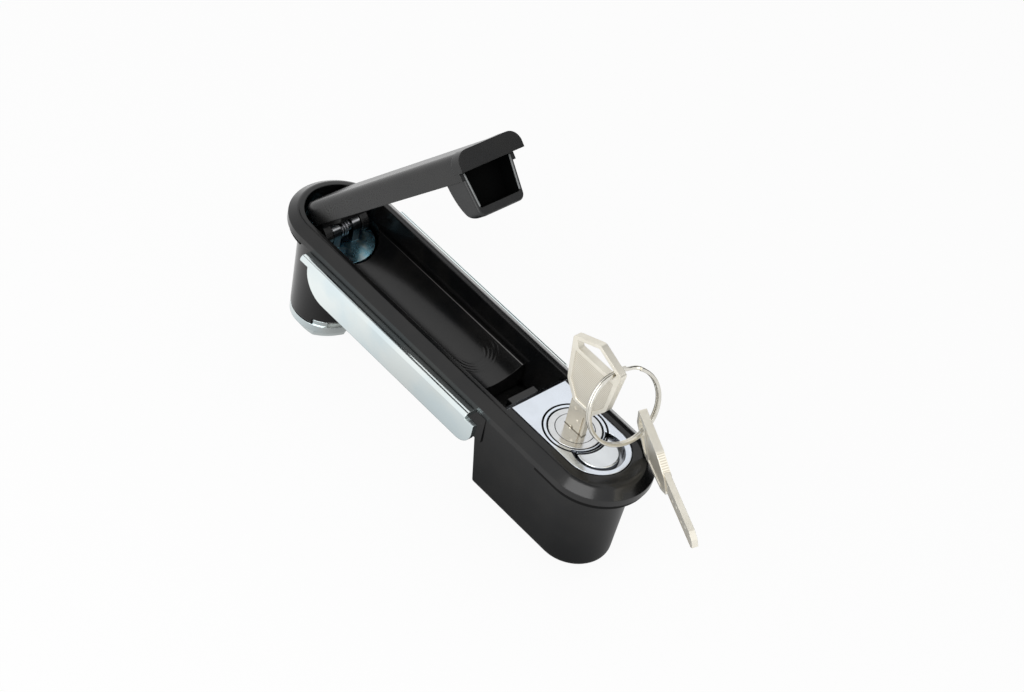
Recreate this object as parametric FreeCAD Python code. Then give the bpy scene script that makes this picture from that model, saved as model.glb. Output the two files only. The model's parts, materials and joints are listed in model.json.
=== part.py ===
import FreeCAD
import Part
import math
import os

from FreeCAD import Matrix, Placement, Vector

# Flush swing-handle lock for a cabinet or rack door, with push release, key cylinder and clamp bracket
# Frame: mm, origin on the spindle axis at the flange's seating plane, +X towards the lock, +Z out of the door

# Flange and housing
FLANGE_SPAN = 124.5
FLANGE_RADIUS = 18.0
FLANGE_HEIGHT = 5.0
FLANGE_SIDE_HEIGHT = 2.4
FLANGE_BEVEL_WIDTH = 3.1
FLANGE_RIDGE_ROUND = 1.8
TROUGH_HALF_WIDTH = 12.9
TROUGH_EDGE_ROUND = 0.3
BODY_HALF_WIDTH = 13.7
BOSS_PROUD = 0.1
BOSS_DEPTH = 36.4
BOSS_DRAFT = 1.7
BOSS_EDGE_ROUND = 1.0
WELL_FLOOR_DEPTH = 8.6
TRAY_END_X = 78.0
TRAY_FLOOR_DEPTH = 7.0
TRAY_FLOOR_RADIUS = 22.0
TRAY_FLOOR_THICKNESS = 2.5
TRAY_LEDGE_DEPTH = 3.8
TRAY_LEDGE_WIDTH = 1.4
PIT_FLOOR_DEPTH = 13.0
PIT_WALL = 3.0
BOX_START_X = 83.4
BOX_END_X = 123.4
BOX_DEPTH = 35.1
BOX_DRAFT = 1.3
BOX_START_LEAN = 5.9
BOX_BOTTOM_ROUND = 2.2
BOX_WALL = 2.4
BOX_FLOOR_DEPTH = 25.4
BOX_FLOOR_THICKNESS = 2.0

# Rubber pads that seal the flange's two round ends against the door
END_SEAL_THICKNESS = 1.8
END_SEAL_INSET = 0.7
END_SEAL_GAP = 0.3
END_SEAL_START_X = 115.0

# Spindle, its bearing and its stop
BUSH_RADIUS = 9.9
BUSH_WALL = 2.0
SHAFT_CLEARANCE = 0.05
PRESS_CLEARANCE = 0.02
SHOULDER_RADIUS = 12.0
SHOULDER_THICKNESS = 1.5
SHOULDER_GAP = 0.1
HINGE_DEPTH = 2.1
EAR_INNER = 2.6
EAR_THICKNESS = 3.0
EAR_RADIUS = 3.4
HINGE_PIN_RADIUS = 1.8
HINGE_PIN_LENGTH = 17.6
HINGE_PIN_END_GAP = 0.1
STOP_WASHER_RADIUS = 12.0
STOP_WASHER_THICKNESS = 2.6
STOP_TAB_ANGLE = 24.0
STOP_TAB_HEIGHT = 2.0
STOP_TAB_CLEARANCE = 0.3
STOP_NOTCH_START = -62.0
STOP_NOTCH_MARGIN = 2.0
STOP_NOTCH_HEADROOM = 0.5
SWING_RANGE = 90.0
SPINDLE_FLAT = 6.9
SPINDLE_NUT_ACROSS = 18.4
SPINDLE_NUT_HEIGHT = 3.9
SPINDLE_END = 0.5
CAM_THREAD_TAP_RADIUS = 2.5
CAM_THREAD_DEPTH = 14.0
SEAL_DEPTH = 13.0
SEAL_SECTION_RADIUS = 0.9
SEAL_CLEARANCE = 0.04

# Handle, given as it lies closed and measured from the hinge axis, then lifted
HANDLE_LIFT = 48.8
HANDLE_LENGTH = 91.5
HANDLE_TOP = 11.5
HANDLE_THICKNESS = 7.7
HANDLE_FRONT_THICKNESS = 8.6
HANDLE_HALF_WIDTH = 10.9
HANDLE_ROUND = 2.6
HANDLE_REAR_CENTRE = 5.2
ROOT_START_X = 4.6
ROOT_END_X = 16.5
ROOT_DROP = 1.6
ROOT_INSET = 1.2
LUG_RADIUS = 3.6
LUG_THICKNESS = 2.9
LUG_GAP = 0.4
LUG_LAP = 0.5
CAP_HEIGHT = 6.0
CAP_LENGTH = 4.0
CAP_HALF_WIDTH = 12.6
CAP_PROUD = 0.3
CAP_ROUND = 4.5
HOOD_LENGTH = 9.0
HOOD_DROP = 14.8
HOOD_TOP_HALF_WIDTH = 10.4
HOOD_BOTTOM_HALF_WIDTH = 9.0
HOOD_WALL = 1.2
HOOD_FLOOR = 2.8
HOOD_CAVITY_DEPTH = 7.0
HOOD_FRONT_ROUND = 0.8
HOOD_SIDE_ROUND = 2.3
HOOD_HEEL_LENGTH = 5.5
HOOD_HEEL_HEIGHT = 11.7
SPRING_WIRE = 0.7
SPRING_COIL_RADIUS = 2.7
SPRING_COIL_GAP = 0.35
SPRING_LEG_GAP = 0.05
SPRING_TURNS = 3

# Lock block, cylinder and plug
BLOCK_NOSE_X = 92.6
BLOCK_RAMP = 3.5
BLOCK_WING_LENGTH = 3.0
BLOCK_HALF_WIDTH = 11.2
BLOCK_END_X = 122.5
BLOCK_SIDE_GAP = 0.25
BLOCK_POCKET_RADIUS = 8.6
BLOCK_POCKET_DEPTH = 2.3
CYLINDER_X = 113.0
CYLINDER_RADIUS = 8.7
CYLINDER_DEPTH = 15.0
CYLINDER_EDGE_BEVEL = 0.3
CYLINDER_WALL_LEFT = 0.6
RING_GROOVE_RADIUS = 10.4
RING_GROOVE = 0.35
PLUG_RADIUS = 6.3
PLUG_CLEARANCE = 0.05
KEYWAY_CLEARANCE = 0.15
KEY_TIP_GAP = 0.5
WAFER_COUNT = 5
WAFER_TOP_DEPTH = 3.0
WAFER_PITCH = 2.2
WAFER_THICKNESS = 0.6
WAFER_LENGTH = 10.4
WAFER_WIDTH = 5.0
WAFER_CLEARANCE = 0.1
PLUG_CAM_THICKNESS = 1.5
PLUG_CAM_REACH = 9.2
PLUG_CAM_WIDTH = 6.0
PLUG_CAM_HUB_RADIUS = 4.5
PLUG_CAM_ROOM = 0.5
CAM_SCREW_RADIUS = 1.45
CAM_SCREW_HEAD_RADIUS = 2.8
CAM_SCREW_HEAD_HEIGHT = 1.6
CAM_SCREW_BITE = 4.0

# Release button, its spring and the bolt that it throws
BUTTON_X = 123.6
BUTTON_RADIUS = 6.9
BUTTON_TOP_GAP = 0.5
BUTTON_HEIGHT = 6.2
BUTTON_TRAVEL = 3.0
BUTTON_CLEARANCE = 0.15
BUTTON_ROUND = 0.5
STEM_X = 126.3
STEM_RADIUS = 1.9
STEM_LAP = 0.5
STEM_FOOT_DEPTH = 21.9
BUTTON_SPRING_RADIUS = 2.95
BUTTON_SPRING_WIRE = 0.7
BUTTON_SPRING_TURNS = 5
BUTTON_SPRING_SEAT_GAP = 0.1
SHELF_DEPTH = 12.0
BOLT_HALF_WIDTH = 5.5
BOLT_TOP_DEPTH = 0.5
BOLT_HEIGHT = 6.0
BOLT_LENGTH = 13.1
BOLT_PROUD = 3.6
BOLT_ARM_LENGTH = 3.0
BOLT_BAR_HEIGHT = 3.0
BOLT_BAR_DEPTH = 18.5
BOLT_BAR_HALF_WIDTH = 2.5
BOLT_CLEARANCE = 0.2
BOLT_END_ROOM = 0.3
WEDGE_GAP = 0.4

# Covers and screws
COVER_THICKNESS = 1.6
COVER_INSET = 0.2
COVER_GAP = 0.2
COVER_SCREW_HEAD_RADIUS = 2.4
COVER_SCREW_HEAD_HEIGHT = 1.2
COVER_SCREW_RADIUS = 1.4
COVER_SCREW_LENGTH = 6.0
COVER_SCREW_START_INSET = 4.4
COVER_SCREW_END_INSET = 4.6
COVER_POST_WALL = 1.3
SCREW_TIP_GAP = 0.5
SCREW_SOCKET_DEPTH_SHARE = 0.5
SCREW_SOCKET_RADIUS_SHARE = 0.75
BLOCK_SCREW_RADIUS = 1.4
BLOCK_SCREW_HEAD_RADIUS = 2.4
BLOCK_SCREW_HEAD_HEIGHT = 1.8
BLOCK_SCREW_BITE = 6.0
BLOCK_SCREW_FROM_CYLINDER = 0.8
BLOCK_SCREW_FROM_EDGE = 4.4

# Clamp bracket
BRACKET_SHEET = 1.8
BRACKET_HALF_WIDTH = 21.8
BRACKET_BEND = 2.0
BRACKET_FOLD_ROUND = 1.4
BRACKET_START_X = 9.6
BRACKET_END_X = 91.5
BRACKET_LIP_START_X = 5.7
BRACKET_LIP_END_X = 87.5
BRACKET_LIP_INNER = 15.5
BRACKET_LIP_ROUND = 2.0
BRACKET_CORNER_START = 9.5
BRACKET_CORNER_END = 6.0
BRACKET_END_DROP = 2.0
BRACKET_WEB_END_X = 74.0
BRACKET_WEB_GAP = 0.1
BRACKET_SCREW_XS = (26.0, 64.0)
BRACKET_SCREW_RADIUS = 1.9
BRACKET_SCREW_BITE = 1.7
BRACKET_SCREW_HEAD_RADIUS = 3.6
BRACKET_SCREW_HEAD_HEIGHT = 2.4
WASHER_RADIUS = 4.4
WASHER_THICKNESS = 0.8

# Keys and split ring; the ring's and the spare key's places are measured from the key in the lock
KEY_LENGTH = 50.8
KEY_BOW_OFFSET = 1.3
KEY_BOW_HALF_WIDTH = 10.6
KEY_BOW_RISE = 4.4
KEY_BOW_WAIST_HALF_WIDTH = 8.7
KEY_BOW_WAIST = 20.6
KEY_BOW_LENGTH = 26.8
KEY_NECK_HALF_WIDTH = 4.0
KEY_BOW_THICKNESS = 2.5
KEY_BOW_ROUND = 1.0
KEY_BLADE_HALF_WIDTH = 3.75
KEY_BLADE_THICKNESS = 1.9
KEY_BLADE_LAP = 1.0
KEY_INSERTED = 13.4
KEY_TIP_BEVEL = 2.0
KEY_HOLE_HALF_WIDTH = 8.7
KEY_HOLE_FROM_TOP = 1.3
KEY_HOLE_RISE = 3.8
KEY_HOLE_HEIGHT = 6.3
KEY_HOLE_TAPER = 1.1
KEY_DIMPLE_RADIUS = 0.7
KEY_DIMPLE_TIP_SHARE = 0.4
KEY_DIMPLE_DEPTH = 0.4
KEY_DIMPLE_LAP = 0.05
KEY_DIMPLES = ((-1.2, 29.0), (0.9, 33.0), (-0.9, 37.0), (1.1, 41.0), (-1.0, 45.0))
SPLIT_RING_RADIUS = 12.5
SPLIT_RING_STRIP = 1.2
SPLIT_RING_WIDTH = 1.8
SPLIT_RING_EDGE_ROUND = 0.35
SPLIT_RING_AHEAD = 13.2
SPLIT_RING_ASIDE = 2.4
SPLIT_RING_BELOW = 17.2
SPLIT_RING_NORMAL = Vector(0.91, -0.19, 0.36)
SPARE_KEY_AHEAD = 1.6
SPARE_KEY_ASIDE = 7.82
SPARE_KEY_BELOW = 7.81
SPARE_KEY_YAW = -24.8
SPARE_KEY_ROLL = 18.0

BORE_RADIUS = BUSH_RADIUS + PRESS_CLEARANCE
BLOCK_DEPTH = BOX_FLOOR_DEPTH
BRACKET_WEB_START_X = BRACKET_START_X + BRACKET_CORNER_START
SHAFT_RADIUS = BUSH_RADIUS - BUSH_WALL - SHAFT_CLEARANCE
HINGE = Vector(0, 0, -HINGE_DEPTH)
TRAY_UNDERSIDE = -TRAY_FLOOR_DEPTH - TRAY_FLOOR_THICKNESS
BOX_CEILING = -BOX_FLOOR_DEPTH - BOX_FLOOR_THICKNESS
HOOD_FRONT_X = HANDLE_LENGTH - CAP_LENGTH
BOLT_REAR_X = BLOCK_NOSE_X - BOLT_PROUD + BOLT_LENGTH
KEY_TOP = Vector(CYLINDER_X, 0, FLANGE_HEIGHT - KEY_INSERTED + KEY_LENGTH)
SPLIT_RING_CENTRE = KEY_TOP + Vector(SPLIT_RING_AHEAD, SPLIT_RING_ASIDE, -SPLIT_RING_BELOW)
SPARE_KEY_TOP = SPLIT_RING_CENTRE + Vector(SPARE_KEY_AHEAD, SPARE_KEY_ASIDE, -SPARE_KEY_BELOW)
UP = Vector(0, 0, 1)
ALONG_Y = Vector(0, 1, 0)
ORIGIN = Vector(0, 0, 0)
THROUGH = 60.0
OVERCUT = 1.0
TOUCH = 0.001
NEAR = 0.01


def box(x0, x1, y0, y1, z0, z1):
    """Box between two corners."""
    return Part.makeBox(x1 - x0, y1 - y0, z1 - z0, Vector(x0, y0, z0))


def cylinder(x, y, z0, z1, radius):
    """Upright cylinder between two heights."""
    return Part.makeCylinder(radius, z1 - z0, Vector(x, y, z0))


def tube(x, y, z0, z1, outer, inner):
    """Upright tube."""
    return cylinder(x, y, z0, z1, outer).cut(cylinder(x, y, z0, z1, inner))


def prism(points, direction):
    """Closed outline extruded along a vector."""
    outline = Part.makePolygon([Vector(*point) for point in points + [points[0]]])
    return Part.Face(outline).extrude(Vector(*direction))


def stadiumWire(x0, x1, z, radius):
    """Outline with two round ends."""
    start = [Vector(x0, radius, z), Vector(x0 - radius, 0, z), Vector(x0, -radius, z)]
    end = [Vector(x1, -radius, z), Vector(x1 + radius, 0, z), Vector(x1, radius, z)]
    edges = [
        Part.Arc(*start).toShape(),
        Part.LineSegment(start[2], end[0]).toShape(),
        Part.Arc(*end).toShape(),
        Part.LineSegment(end[2], start[0]).toShape(),
    ]
    return Part.Wire(edges)


def stadium(x0, x1, z0, z1, radius):
    """Plate with two round ends."""
    return Part.Face(stadiumWire(x0, x1, z0, radius)).extrude(Vector(0, 0, z1 - z0))


def tongueWire(x0, x1, z, halfWidth):
    """Outline square at the start and round at the end."""
    corners = [Vector(x0, halfWidth, z), Vector(x0, -halfWidth, z), Vector(x1, -halfWidth, z)]
    tip = Vector(x1 + halfWidth, 0, z)
    last = Vector(x1, halfWidth, z)
    edges = [
        Part.LineSegment(corners[0], corners[1]).toShape(),
        Part.LineSegment(corners[1], corners[2]).toShape(),
        Part.Arc(corners[2], tip, last).toShape(),
        Part.LineSegment(last, corners[0]).toShape(),
    ]
    return Part.Wire(edges)


def tongue(x0, x1, z0, z1, halfWidth):
    """Plate square at the start and round at the end."""
    return Part.Face(tongueWire(x0, x1, z0, halfWidth)).extrude(Vector(0, 0, z1 - z0))


def fuseAll(shapes):
    """One solid from several that touch or overlap."""
    whole = shapes[0]
    for shape in shapes[1:]:
        whole = whole.fuse(shape)
    return whole.removeSplitter()


def helixSpring(radius, wire, turns, z0, z1, x, y):
    """Open coil spring standing on Z, the wire's centre line between two heights."""
    path = Part.makeHelix((z1 - z0) / turns, z1 - z0, radius)
    section = Part.Wire(Part.makeCircle(wire / 2, Vector(radius, 0, 0), ALONG_Y))
    coil = Part.Wire(path).makePipeShell([section], True, True)
    coil.translate(Vector(x, y, z0))
    return coil


def screw(x, y, headTop, headHeight, headRadius, shankTop, shankRadius):
    """Screw pointing up, its head at the bottom, with a plain round socket in the head."""
    headBottom = headTop - headHeight
    head = cylinder(x, y, headBottom, headTop, headRadius)
    body = head.fuse(cylinder(x, y, headTop, shankTop, shankRadius))
    socketTop = headBottom + headHeight * SCREW_SOCKET_DEPTH_SHARE
    return body.cut(cylinder(x, y, headBottom, socketTop, shankRadius * SCREW_SOCKET_RADIUS_SHARE))


def roundedEdges(shape, radius, wanted):
    """Fillet the edges that a test picks."""
    edges = [edge for edge in shape.Edges if wanted(edge)]
    return shape.makeFillet(radius, edges)


def atHeight(edge, z):
    """Whether an edge lies flat at one height."""
    bounds = edge.BoundBox
    return abs(bounds.ZMin - z) < TOUCH and abs(bounds.ZMax - z) < TOUCH


def lifted(shape):
    """Turn a shape given in the closed handle's place to the raised pose."""
    moved = shape.copy()
    moved.translate(HINGE)
    moved.rotate(HINGE, Vector(0, -1, 0), HANDLE_LIFT)
    return moved


def boxWire(z, share):
    """Outline of the lock box at one height, narrowed by its draft."""
    half = BODY_HALF_WIDTH - BOX_DRAFT * share
    return tongueWire(BOX_START_X + BOX_START_LEAN * share, BOX_END_X, z, half)


def flangePlate():
    """Flange with an upright side, a straight bevel and a soft ridge where the bevel meets the top."""
    side = stadium(0, FLANGE_SPAN, 0, FLANGE_SIDE_HEIGHT, FLANGE_RADIUS)
    lower = stadiumWire(0, FLANGE_SPAN, FLANGE_SIDE_HEIGHT, FLANGE_RADIUS)
    upper = stadiumWire(0, FLANGE_SPAN, FLANGE_HEIGHT, FLANGE_RADIUS - FLANGE_BEVEL_WIDTH)
    plate = fuseAll([side, Part.makeLoft([lower, upper], True, True)])
    return roundedEdges(plate, FLANGE_RIDGE_ROUND, lambda edge: atHeight(edge, FLANGE_HEIGHT))


def baseHousing():
    """Flange, boss, tray and lock box as one casting."""
    bossTop = BODY_HALF_WIDTH + BOSS_PROUD
    boss = Part.makeCone(bossTop - BOSS_DRAFT, bossTop, BOSS_DEPTH, Vector(0, 0, -BOSS_DEPTH))
    boss = roundedEdges(boss, BOSS_EDGE_ROUND, lambda edge: atHeight(edge, -BOSS_DEPTH))
    boxTop = BOX_START_X + BOX_START_LEAN
    tray = box(0, boxTop, -BODY_HALF_WIDTH, BODY_HALF_WIDTH, TRAY_UNDERSIDE, 0)
    pitUnderside = -PIT_FLOOR_DEPTH - TRAY_FLOOR_THICKNESS
    pit = box(TRAY_END_X - PIT_WALL, boxTop, -BODY_HALF_WIDTH, BODY_HALF_WIDTH, pitUnderside, 0)
    lockBox = Part.makeLoft([boxWire(0, 0), boxWire(-BOX_DEPTH, 1)], True, True)
    lockBox = roundedEdges(lockBox, BOX_BOTTOM_ROUND, lambda edge: atHeight(edge, -BOX_DEPTH))
    body = fuseAll([flangePlate(), boss, tray, pit, lockBox])

    # Well round the spindle, its bore and the notch that the stop washer's tab sweeps
    body = body.cut(cylinder(0, 0, -WELL_FLOOR_DEPTH, FLANGE_HEIGHT, TROUGH_HALF_WIDTH))
    body = body.cut(cylinder(0, 0, -BOSS_DEPTH, 0, BORE_RADIUS))
    tabSweep = SWING_RANGE + STOP_TAB_ANGLE + 2 * STOP_NOTCH_MARGIN
    notchHeight = STOP_TAB_HEIGHT + STOP_NOTCH_HEADROOM
    notch = Part.makeCylinder(bossTop + OVERCUT, notchHeight, Vector(0, 0, -BOSS_DEPTH), UP, tabSweep)
    notch.rotate(ORIGIN, UP, STOP_NOTCH_START - STOP_NOTCH_MARGIN)
    body = body.cut(notch)

    # Tray floor dished along its length, between two ledges
    above = FLANGE_HEIGHT + OVERCUT
    dishAxis = Vector(0, 0, TRAY_FLOOR_RADIUS - TRAY_FLOOR_DEPTH)
    dish = Part.makeCylinder(TRAY_FLOOR_RADIUS, TRAY_END_X, dishAxis, Vector(1, 0, 0))
    upperTray = box(0, TRAY_END_X, -TROUGH_HALF_WIDTH, TROUGH_HALF_WIDTH, -TRAY_LEDGE_DEPTH, above)
    lowerHalf = TROUGH_HALF_WIDTH - TRAY_LEDGE_WIDTH
    lowerTray = box(0, TRAY_END_X, -lowerHalf, lowerHalf, -TRAY_FLOOR_DEPTH - OVERCUT, above)
    body = body.cut(upperTray)
    body = body.cut(lowerTray.common(dish))

    # Pit that takes the hood of the closed handle, and the seat of the lock block's wings
    pitEnd = BLOCK_NOSE_X
    body = body.cut(box(TRAY_END_X, pitEnd, -TROUGH_HALF_WIDTH, TROUGH_HALF_WIDTH, -PIT_FLOOR_DEPTH, above))
    wingEnd = BLOCK_NOSE_X + BLOCK_WING_LENGTH + BLOCK_SIDE_GAP
    body = body.cut(box(pitEnd, wingEnd, -TROUGH_HALF_WIDTH, TROUGH_HALF_WIDTH, -TRAY_LEDGE_DEPTH, above))

    # Chamber of the lock block, and the space under its floor that the cover closes
    chamberHalf = BLOCK_HALF_WIDTH + BLOCK_SIDE_GAP
    body = body.cut(tongue(BLOCK_NOSE_X - BLOCK_SIDE_GAP, BLOCK_END_X, -BOX_FLOOR_DEPTH, above, chamberHalf))
    body = body.cut(tongue(coverStart(), BOX_END_X, -BOX_DEPTH, BOX_CEILING, coverHalf()))
    postBottom = -BOX_DEPTH + COVER_THICKNESS + COVER_GAP
    tappedTop = -BOX_DEPTH + COVER_THICKNESS + COVER_SCREW_LENGTH + SCREW_TIP_GAP
    for x, y in coverScrewPlaces():
        body = body.fuse(cylinder(x, y, postBottom, BOX_CEILING, COVER_SCREW_RADIUS + COVER_POST_WALL))
        body = body.cut(cylinder(x, y, -BOX_DEPTH, tappedTop, COVER_SCREW_RADIUS + PRESS_CLEARANCE))
    for x, y in blockScrewPlaces():
        hole = BLOCK_SCREW_RADIUS + COVER_GAP
        body = body.cut(cylinder(x, y, BOX_CEILING - OVERCUT, -BOX_FLOOR_DEPTH + OVERCUT, hole))
    for x in BRACKET_SCREW_XS:
        tapped = TRAY_UNDERSIDE + BRACKET_SCREW_BITE + COVER_GAP
        hole = BRACKET_SCREW_RADIUS + PRESS_CLEARANCE
        body = body.cut(cylinder(x, 0, TRAY_UNDERSIDE - OVERCUT, tapped, hole))
    return roundedEdges(body, TROUGH_EDGE_ROUND, isRim)


def isRim(edge):
    """Whether an edge of the housing is the upper edge of the trough or the chamber."""
    bounds = edge.BoundBox
    inside = bounds.YMax < TROUGH_HALF_WIDTH + NEAR and bounds.YMin > -TROUGH_HALF_WIDTH - NEAR
    return inside and atHeight(edge, FLANGE_HEIGHT)


def endSeals():
    """Two rubber pads under the round ends of the flange, clear of the clamp bracket's lips."""
    outer = stadium(0, FLANGE_SPAN, -END_SEAL_THICKNESS, 0, FLANGE_RADIUS - END_SEAL_INSET)
    inner = stadium(0, FLANGE_SPAN, -END_SEAL_THICKNESS, 0, BODY_HALF_WIDTH + END_SEAL_GAP)
    ring = outer.cut(inner)
    handleEnd = box(-FLANGE_SPAN, 0, -THROUGH, THROUGH, -END_SEAL_THICKNESS, 0)
    lockEnd = box(END_SEAL_START_X, 2 * FLANGE_SPAN, -THROUGH, THROUGH, -END_SEAL_THICKNESS, 0)
    return [ring.common(handleEnd), ring.common(lockEnd)]


def coverStart():
    """Start of the recess that the rear cover closes."""
    return BOX_START_X + BOX_START_LEAN + BOX_WALL


def coverHalf():
    """Half width of that recess."""
    return BODY_HALF_WIDTH - BOX_DRAFT - BOX_WALL


def coverScrewPlaces():
    """Centres of the rear cover's two screws."""
    end = BOX_END_X + coverHalf()
    return [(coverStart() + COVER_SCREW_START_INSET, 0), (end - COVER_SCREW_END_INSET, 0)]


def blockScrewPlaces():
    """Centres of the two screws that hold the lock block from behind."""
    reach = CYLINDER_RADIUS + BLOCK_SCREW_FROM_CYLINDER
    inset = BLOCK_HALF_WIDTH - BLOCK_SCREW_FROM_EDGE
    return [(CYLINDER_X - reach, inset), (CYLINDER_X + reach, -inset)]


def rearCover():
    """Plate let into the underside of the lock box."""
    top = -BOX_DEPTH + COVER_THICKNESS
    plate = tongue(coverStart() + COVER_INSET, BOX_END_X, -BOX_DEPTH, top, coverHalf() - COVER_INSET)
    for x, y in coverScrewPlaces():
        plate = plate.cut(cylinder(x, y, -BOX_DEPTH, top, COVER_SCREW_RADIUS + COVER_GAP))
    return plate


def coverScrews():
    """Two screws in the rear cover."""
    head = -BOX_DEPTH
    shank = -BOX_DEPTH + COVER_THICKNESS + COVER_SCREW_LENGTH
    return [screw(x, y, head, COVER_SCREW_HEAD_HEIGHT, COVER_SCREW_HEAD_RADIUS, shank, COVER_SCREW_RADIUS)
            for x, y in coverScrewPlaces()]


def blockScrews():
    """Two screws through the chamber's floor into the lock block."""
    head = BOX_CEILING
    shank = -BLOCK_DEPTH + BLOCK_SCREW_BITE
    return [screw(x, y, head, BLOCK_SCREW_HEAD_HEIGHT, BLOCK_SCREW_HEAD_RADIUS, shank, BLOCK_SCREW_RADIUS)
            for x, y in blockScrewPlaces()]


def spindleFork():
    """Shoulder disc with two ears for the hinge pin, on a shaft with a threaded end."""
    top = -WELL_FLOOR_DEPTH + SHOULDER_GAP + SHOULDER_THICKNESS
    flatTop = -BOSS_DEPTH - SHOULDER_GAP
    end = flatTop - STOP_WASHER_THICKNESS - SPINDLE_NUT_HEIGHT - SPINDLE_END
    disc = cylinder(0, 0, top - SHOULDER_THICKNESS, top, SHOULDER_RADIUS)
    shaft = cylinder(0, 0, flatTop, top, SHAFT_RADIUS)
    flats = box(-SPINDLE_FLAT, SPINDLE_FLAT, -SHAFT_RADIUS, SHAFT_RADIUS, end, flatTop)
    flatShaft = cylinder(0, 0, end, flatTop, SHAFT_RADIUS).common(flats)
    pieces = [disc, shaft, flatShaft]
    for side in (-1, 1):
        y0 = EAR_INNER if side > 0 else -EAR_INNER - EAR_THICKNESS
        y1 = y0 + EAR_THICKNESS
        pieces.append(box(-EAR_RADIUS, EAR_RADIUS, y0, y1, top - SHOULDER_THICKNESS, -HINGE_DEPTH))
        pieces.append(Part.makeCylinder(EAR_RADIUS, EAR_THICKNESS, Vector(0, y0, -HINGE_DEPTH), ALONG_Y))
    body = fuseAll(pieces)
    pinStart = Vector(0, -THROUGH / 2, -HINGE_DEPTH)
    body = body.cut(Part.makeCylinder(HINGE_PIN_RADIUS + SHAFT_CLEARANCE, THROUGH, pinStart, ALONG_Y))
    body = body.cut(cylinder(0, 0, end, end + CAM_THREAD_DEPTH, CAM_THREAD_TAP_RADIUS))
    grooveInner = SHAFT_RADIUS - 2 * SEAL_SECTION_RADIUS
    groove = tube(0, 0, -SEAL_DEPTH - SEAL_SECTION_RADIUS, -SEAL_DEPTH + SEAL_SECTION_RADIUS,
                  SHAFT_RADIUS + OVERCUT, grooveInner)
    return body.cut(groove)


def sealRing():
    """Round-section seal in the shaft's groove."""
    radius = SHAFT_RADIUS - SEAL_SECTION_RADIUS
    return Part.makeTorus(radius, SEAL_SECTION_RADIUS - SEAL_CLEARANCE, Vector(0, 0, -SEAL_DEPTH))


def spindleBush():
    """Plain bearing pressed into the boss."""
    return tube(0, 0, -BOSS_DEPTH, -WELL_FLOOR_DEPTH, BUSH_RADIUS, BUSH_RADIUS - BUSH_WALL)


def stopWasher():
    """Washer keyed on the shaft's flats, with the tab that limits the swing."""
    top = -BOSS_DEPTH - SHOULDER_GAP
    bottom = top - STOP_WASHER_THICKNESS
    washer = cylinder(0, 0, bottom, top, STOP_WASHER_RADIUS)
    tabRadius = BODY_HALF_WIDTH - BOSS_DRAFT - STOP_TAB_CLEARANCE
    tab = Part.makeCylinder(tabRadius, STOP_TAB_HEIGHT, Vector(0, 0, top), UP, STOP_TAB_ANGLE)
    tab = tab.cut(cylinder(0, 0, top, top + STOP_TAB_HEIGHT, BUSH_RADIUS + STOP_TAB_CLEARANCE))
    tab.rotate(ORIGIN, UP, STOP_NOTCH_START)
    flat = SPINDLE_FLAT + SHAFT_CLEARANCE
    hole = cylinder(0, 0, bottom, top, SHAFT_RADIUS + SHAFT_CLEARANCE)
    hole = hole.common(box(-flat, flat, -THROUGH, THROUGH, bottom, top))
    return washer.cut(hole).fuse(tab).removeSplitter()


def hexagon(across, z0, height):
    """Six-sided plate."""
    corner = across / math.sqrt(3)
    turns = [math.radians(60 * number) for number in range(6)]
    points = [(corner * math.cos(turn), corner * math.sin(turn), z0) for turn in turns]
    return prism(points, (0, 0, height))


def spindleNut():
    """Thin nut that holds the stop washer."""
    top = -BOSS_DEPTH - SHOULDER_GAP - STOP_WASHER_THICKNESS
    nut = hexagon(SPINDLE_NUT_ACROSS, top - SPINDLE_NUT_HEIGHT, SPINDLE_NUT_HEIGHT)
    return nut.cut(cylinder(0, 0, top - SPINDLE_NUT_HEIGHT, top, SHAFT_RADIUS + PRESS_CLEARANCE))


def belowArm():
    """Everything below the arm's underside, level over the hinge and then sloping down to the front."""
    rear = HANDLE_TOP - HANDLE_THICKNESS
    front = HANDLE_TOP - HANDLE_FRONT_THICKNESS
    return prism([(-THROUGH, -THROUGH / 2, -THROUGH), (-THROUGH, -THROUGH / 2, rear),
                  (ROOT_START_X, -THROUGH / 2, rear), (HANDLE_LENGTH, -THROUGH / 2, front),
                  (HANDLE_LENGTH, -THROUGH / 2, -THROUGH)], (0, THROUGH, 0))


def armPlate():
    """Arm round at the hinge end and square at the front, cut back under the cap."""
    low = HANDLE_TOP - HANDLE_FRONT_THICKNESS
    plan = tongueWire(-HANDLE_LENGTH, -HANDLE_REAR_CENTRE, low, HANDLE_HALF_WIDTH)
    plate = Part.Face(plan).extrude(Vector(0, 0, HANDLE_FRONT_THICKNESS))
    plate = plate.mirror(ORIGIN, Vector(1, 0, 0)).cut(belowArm())
    half = HANDLE_HALF_WIDTH
    plate = plate.cut(box(HOOD_FRONT_X, HANDLE_LENGTH, -half, half, low, HANDLE_TOP - CAP_HEIGHT))
    return roundedEdges(plate, HANDLE_ROUND, lambda edge: atHeight(edge, HANDLE_TOP)
                        and edge.BoundBox.XMin < HANDLE_LENGTH - NEAR)


def handleCap():
    """Visor at the arm's front end, wider than the arm, with rounded shoulders."""
    cap = box(HOOD_FRONT_X, HANDLE_LENGTH, -CAP_HALF_WIDTH, CAP_HALF_WIDTH,
              HANDLE_TOP - CAP_HEIGHT, HANDLE_TOP + CAP_PROUD)
    return roundedEdges(cap, CAP_ROUND, lambda edge: atHeight(edge, HANDLE_TOP + CAP_PROUD)
                        and edge.BoundBox.YLength < NEAR)


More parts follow.
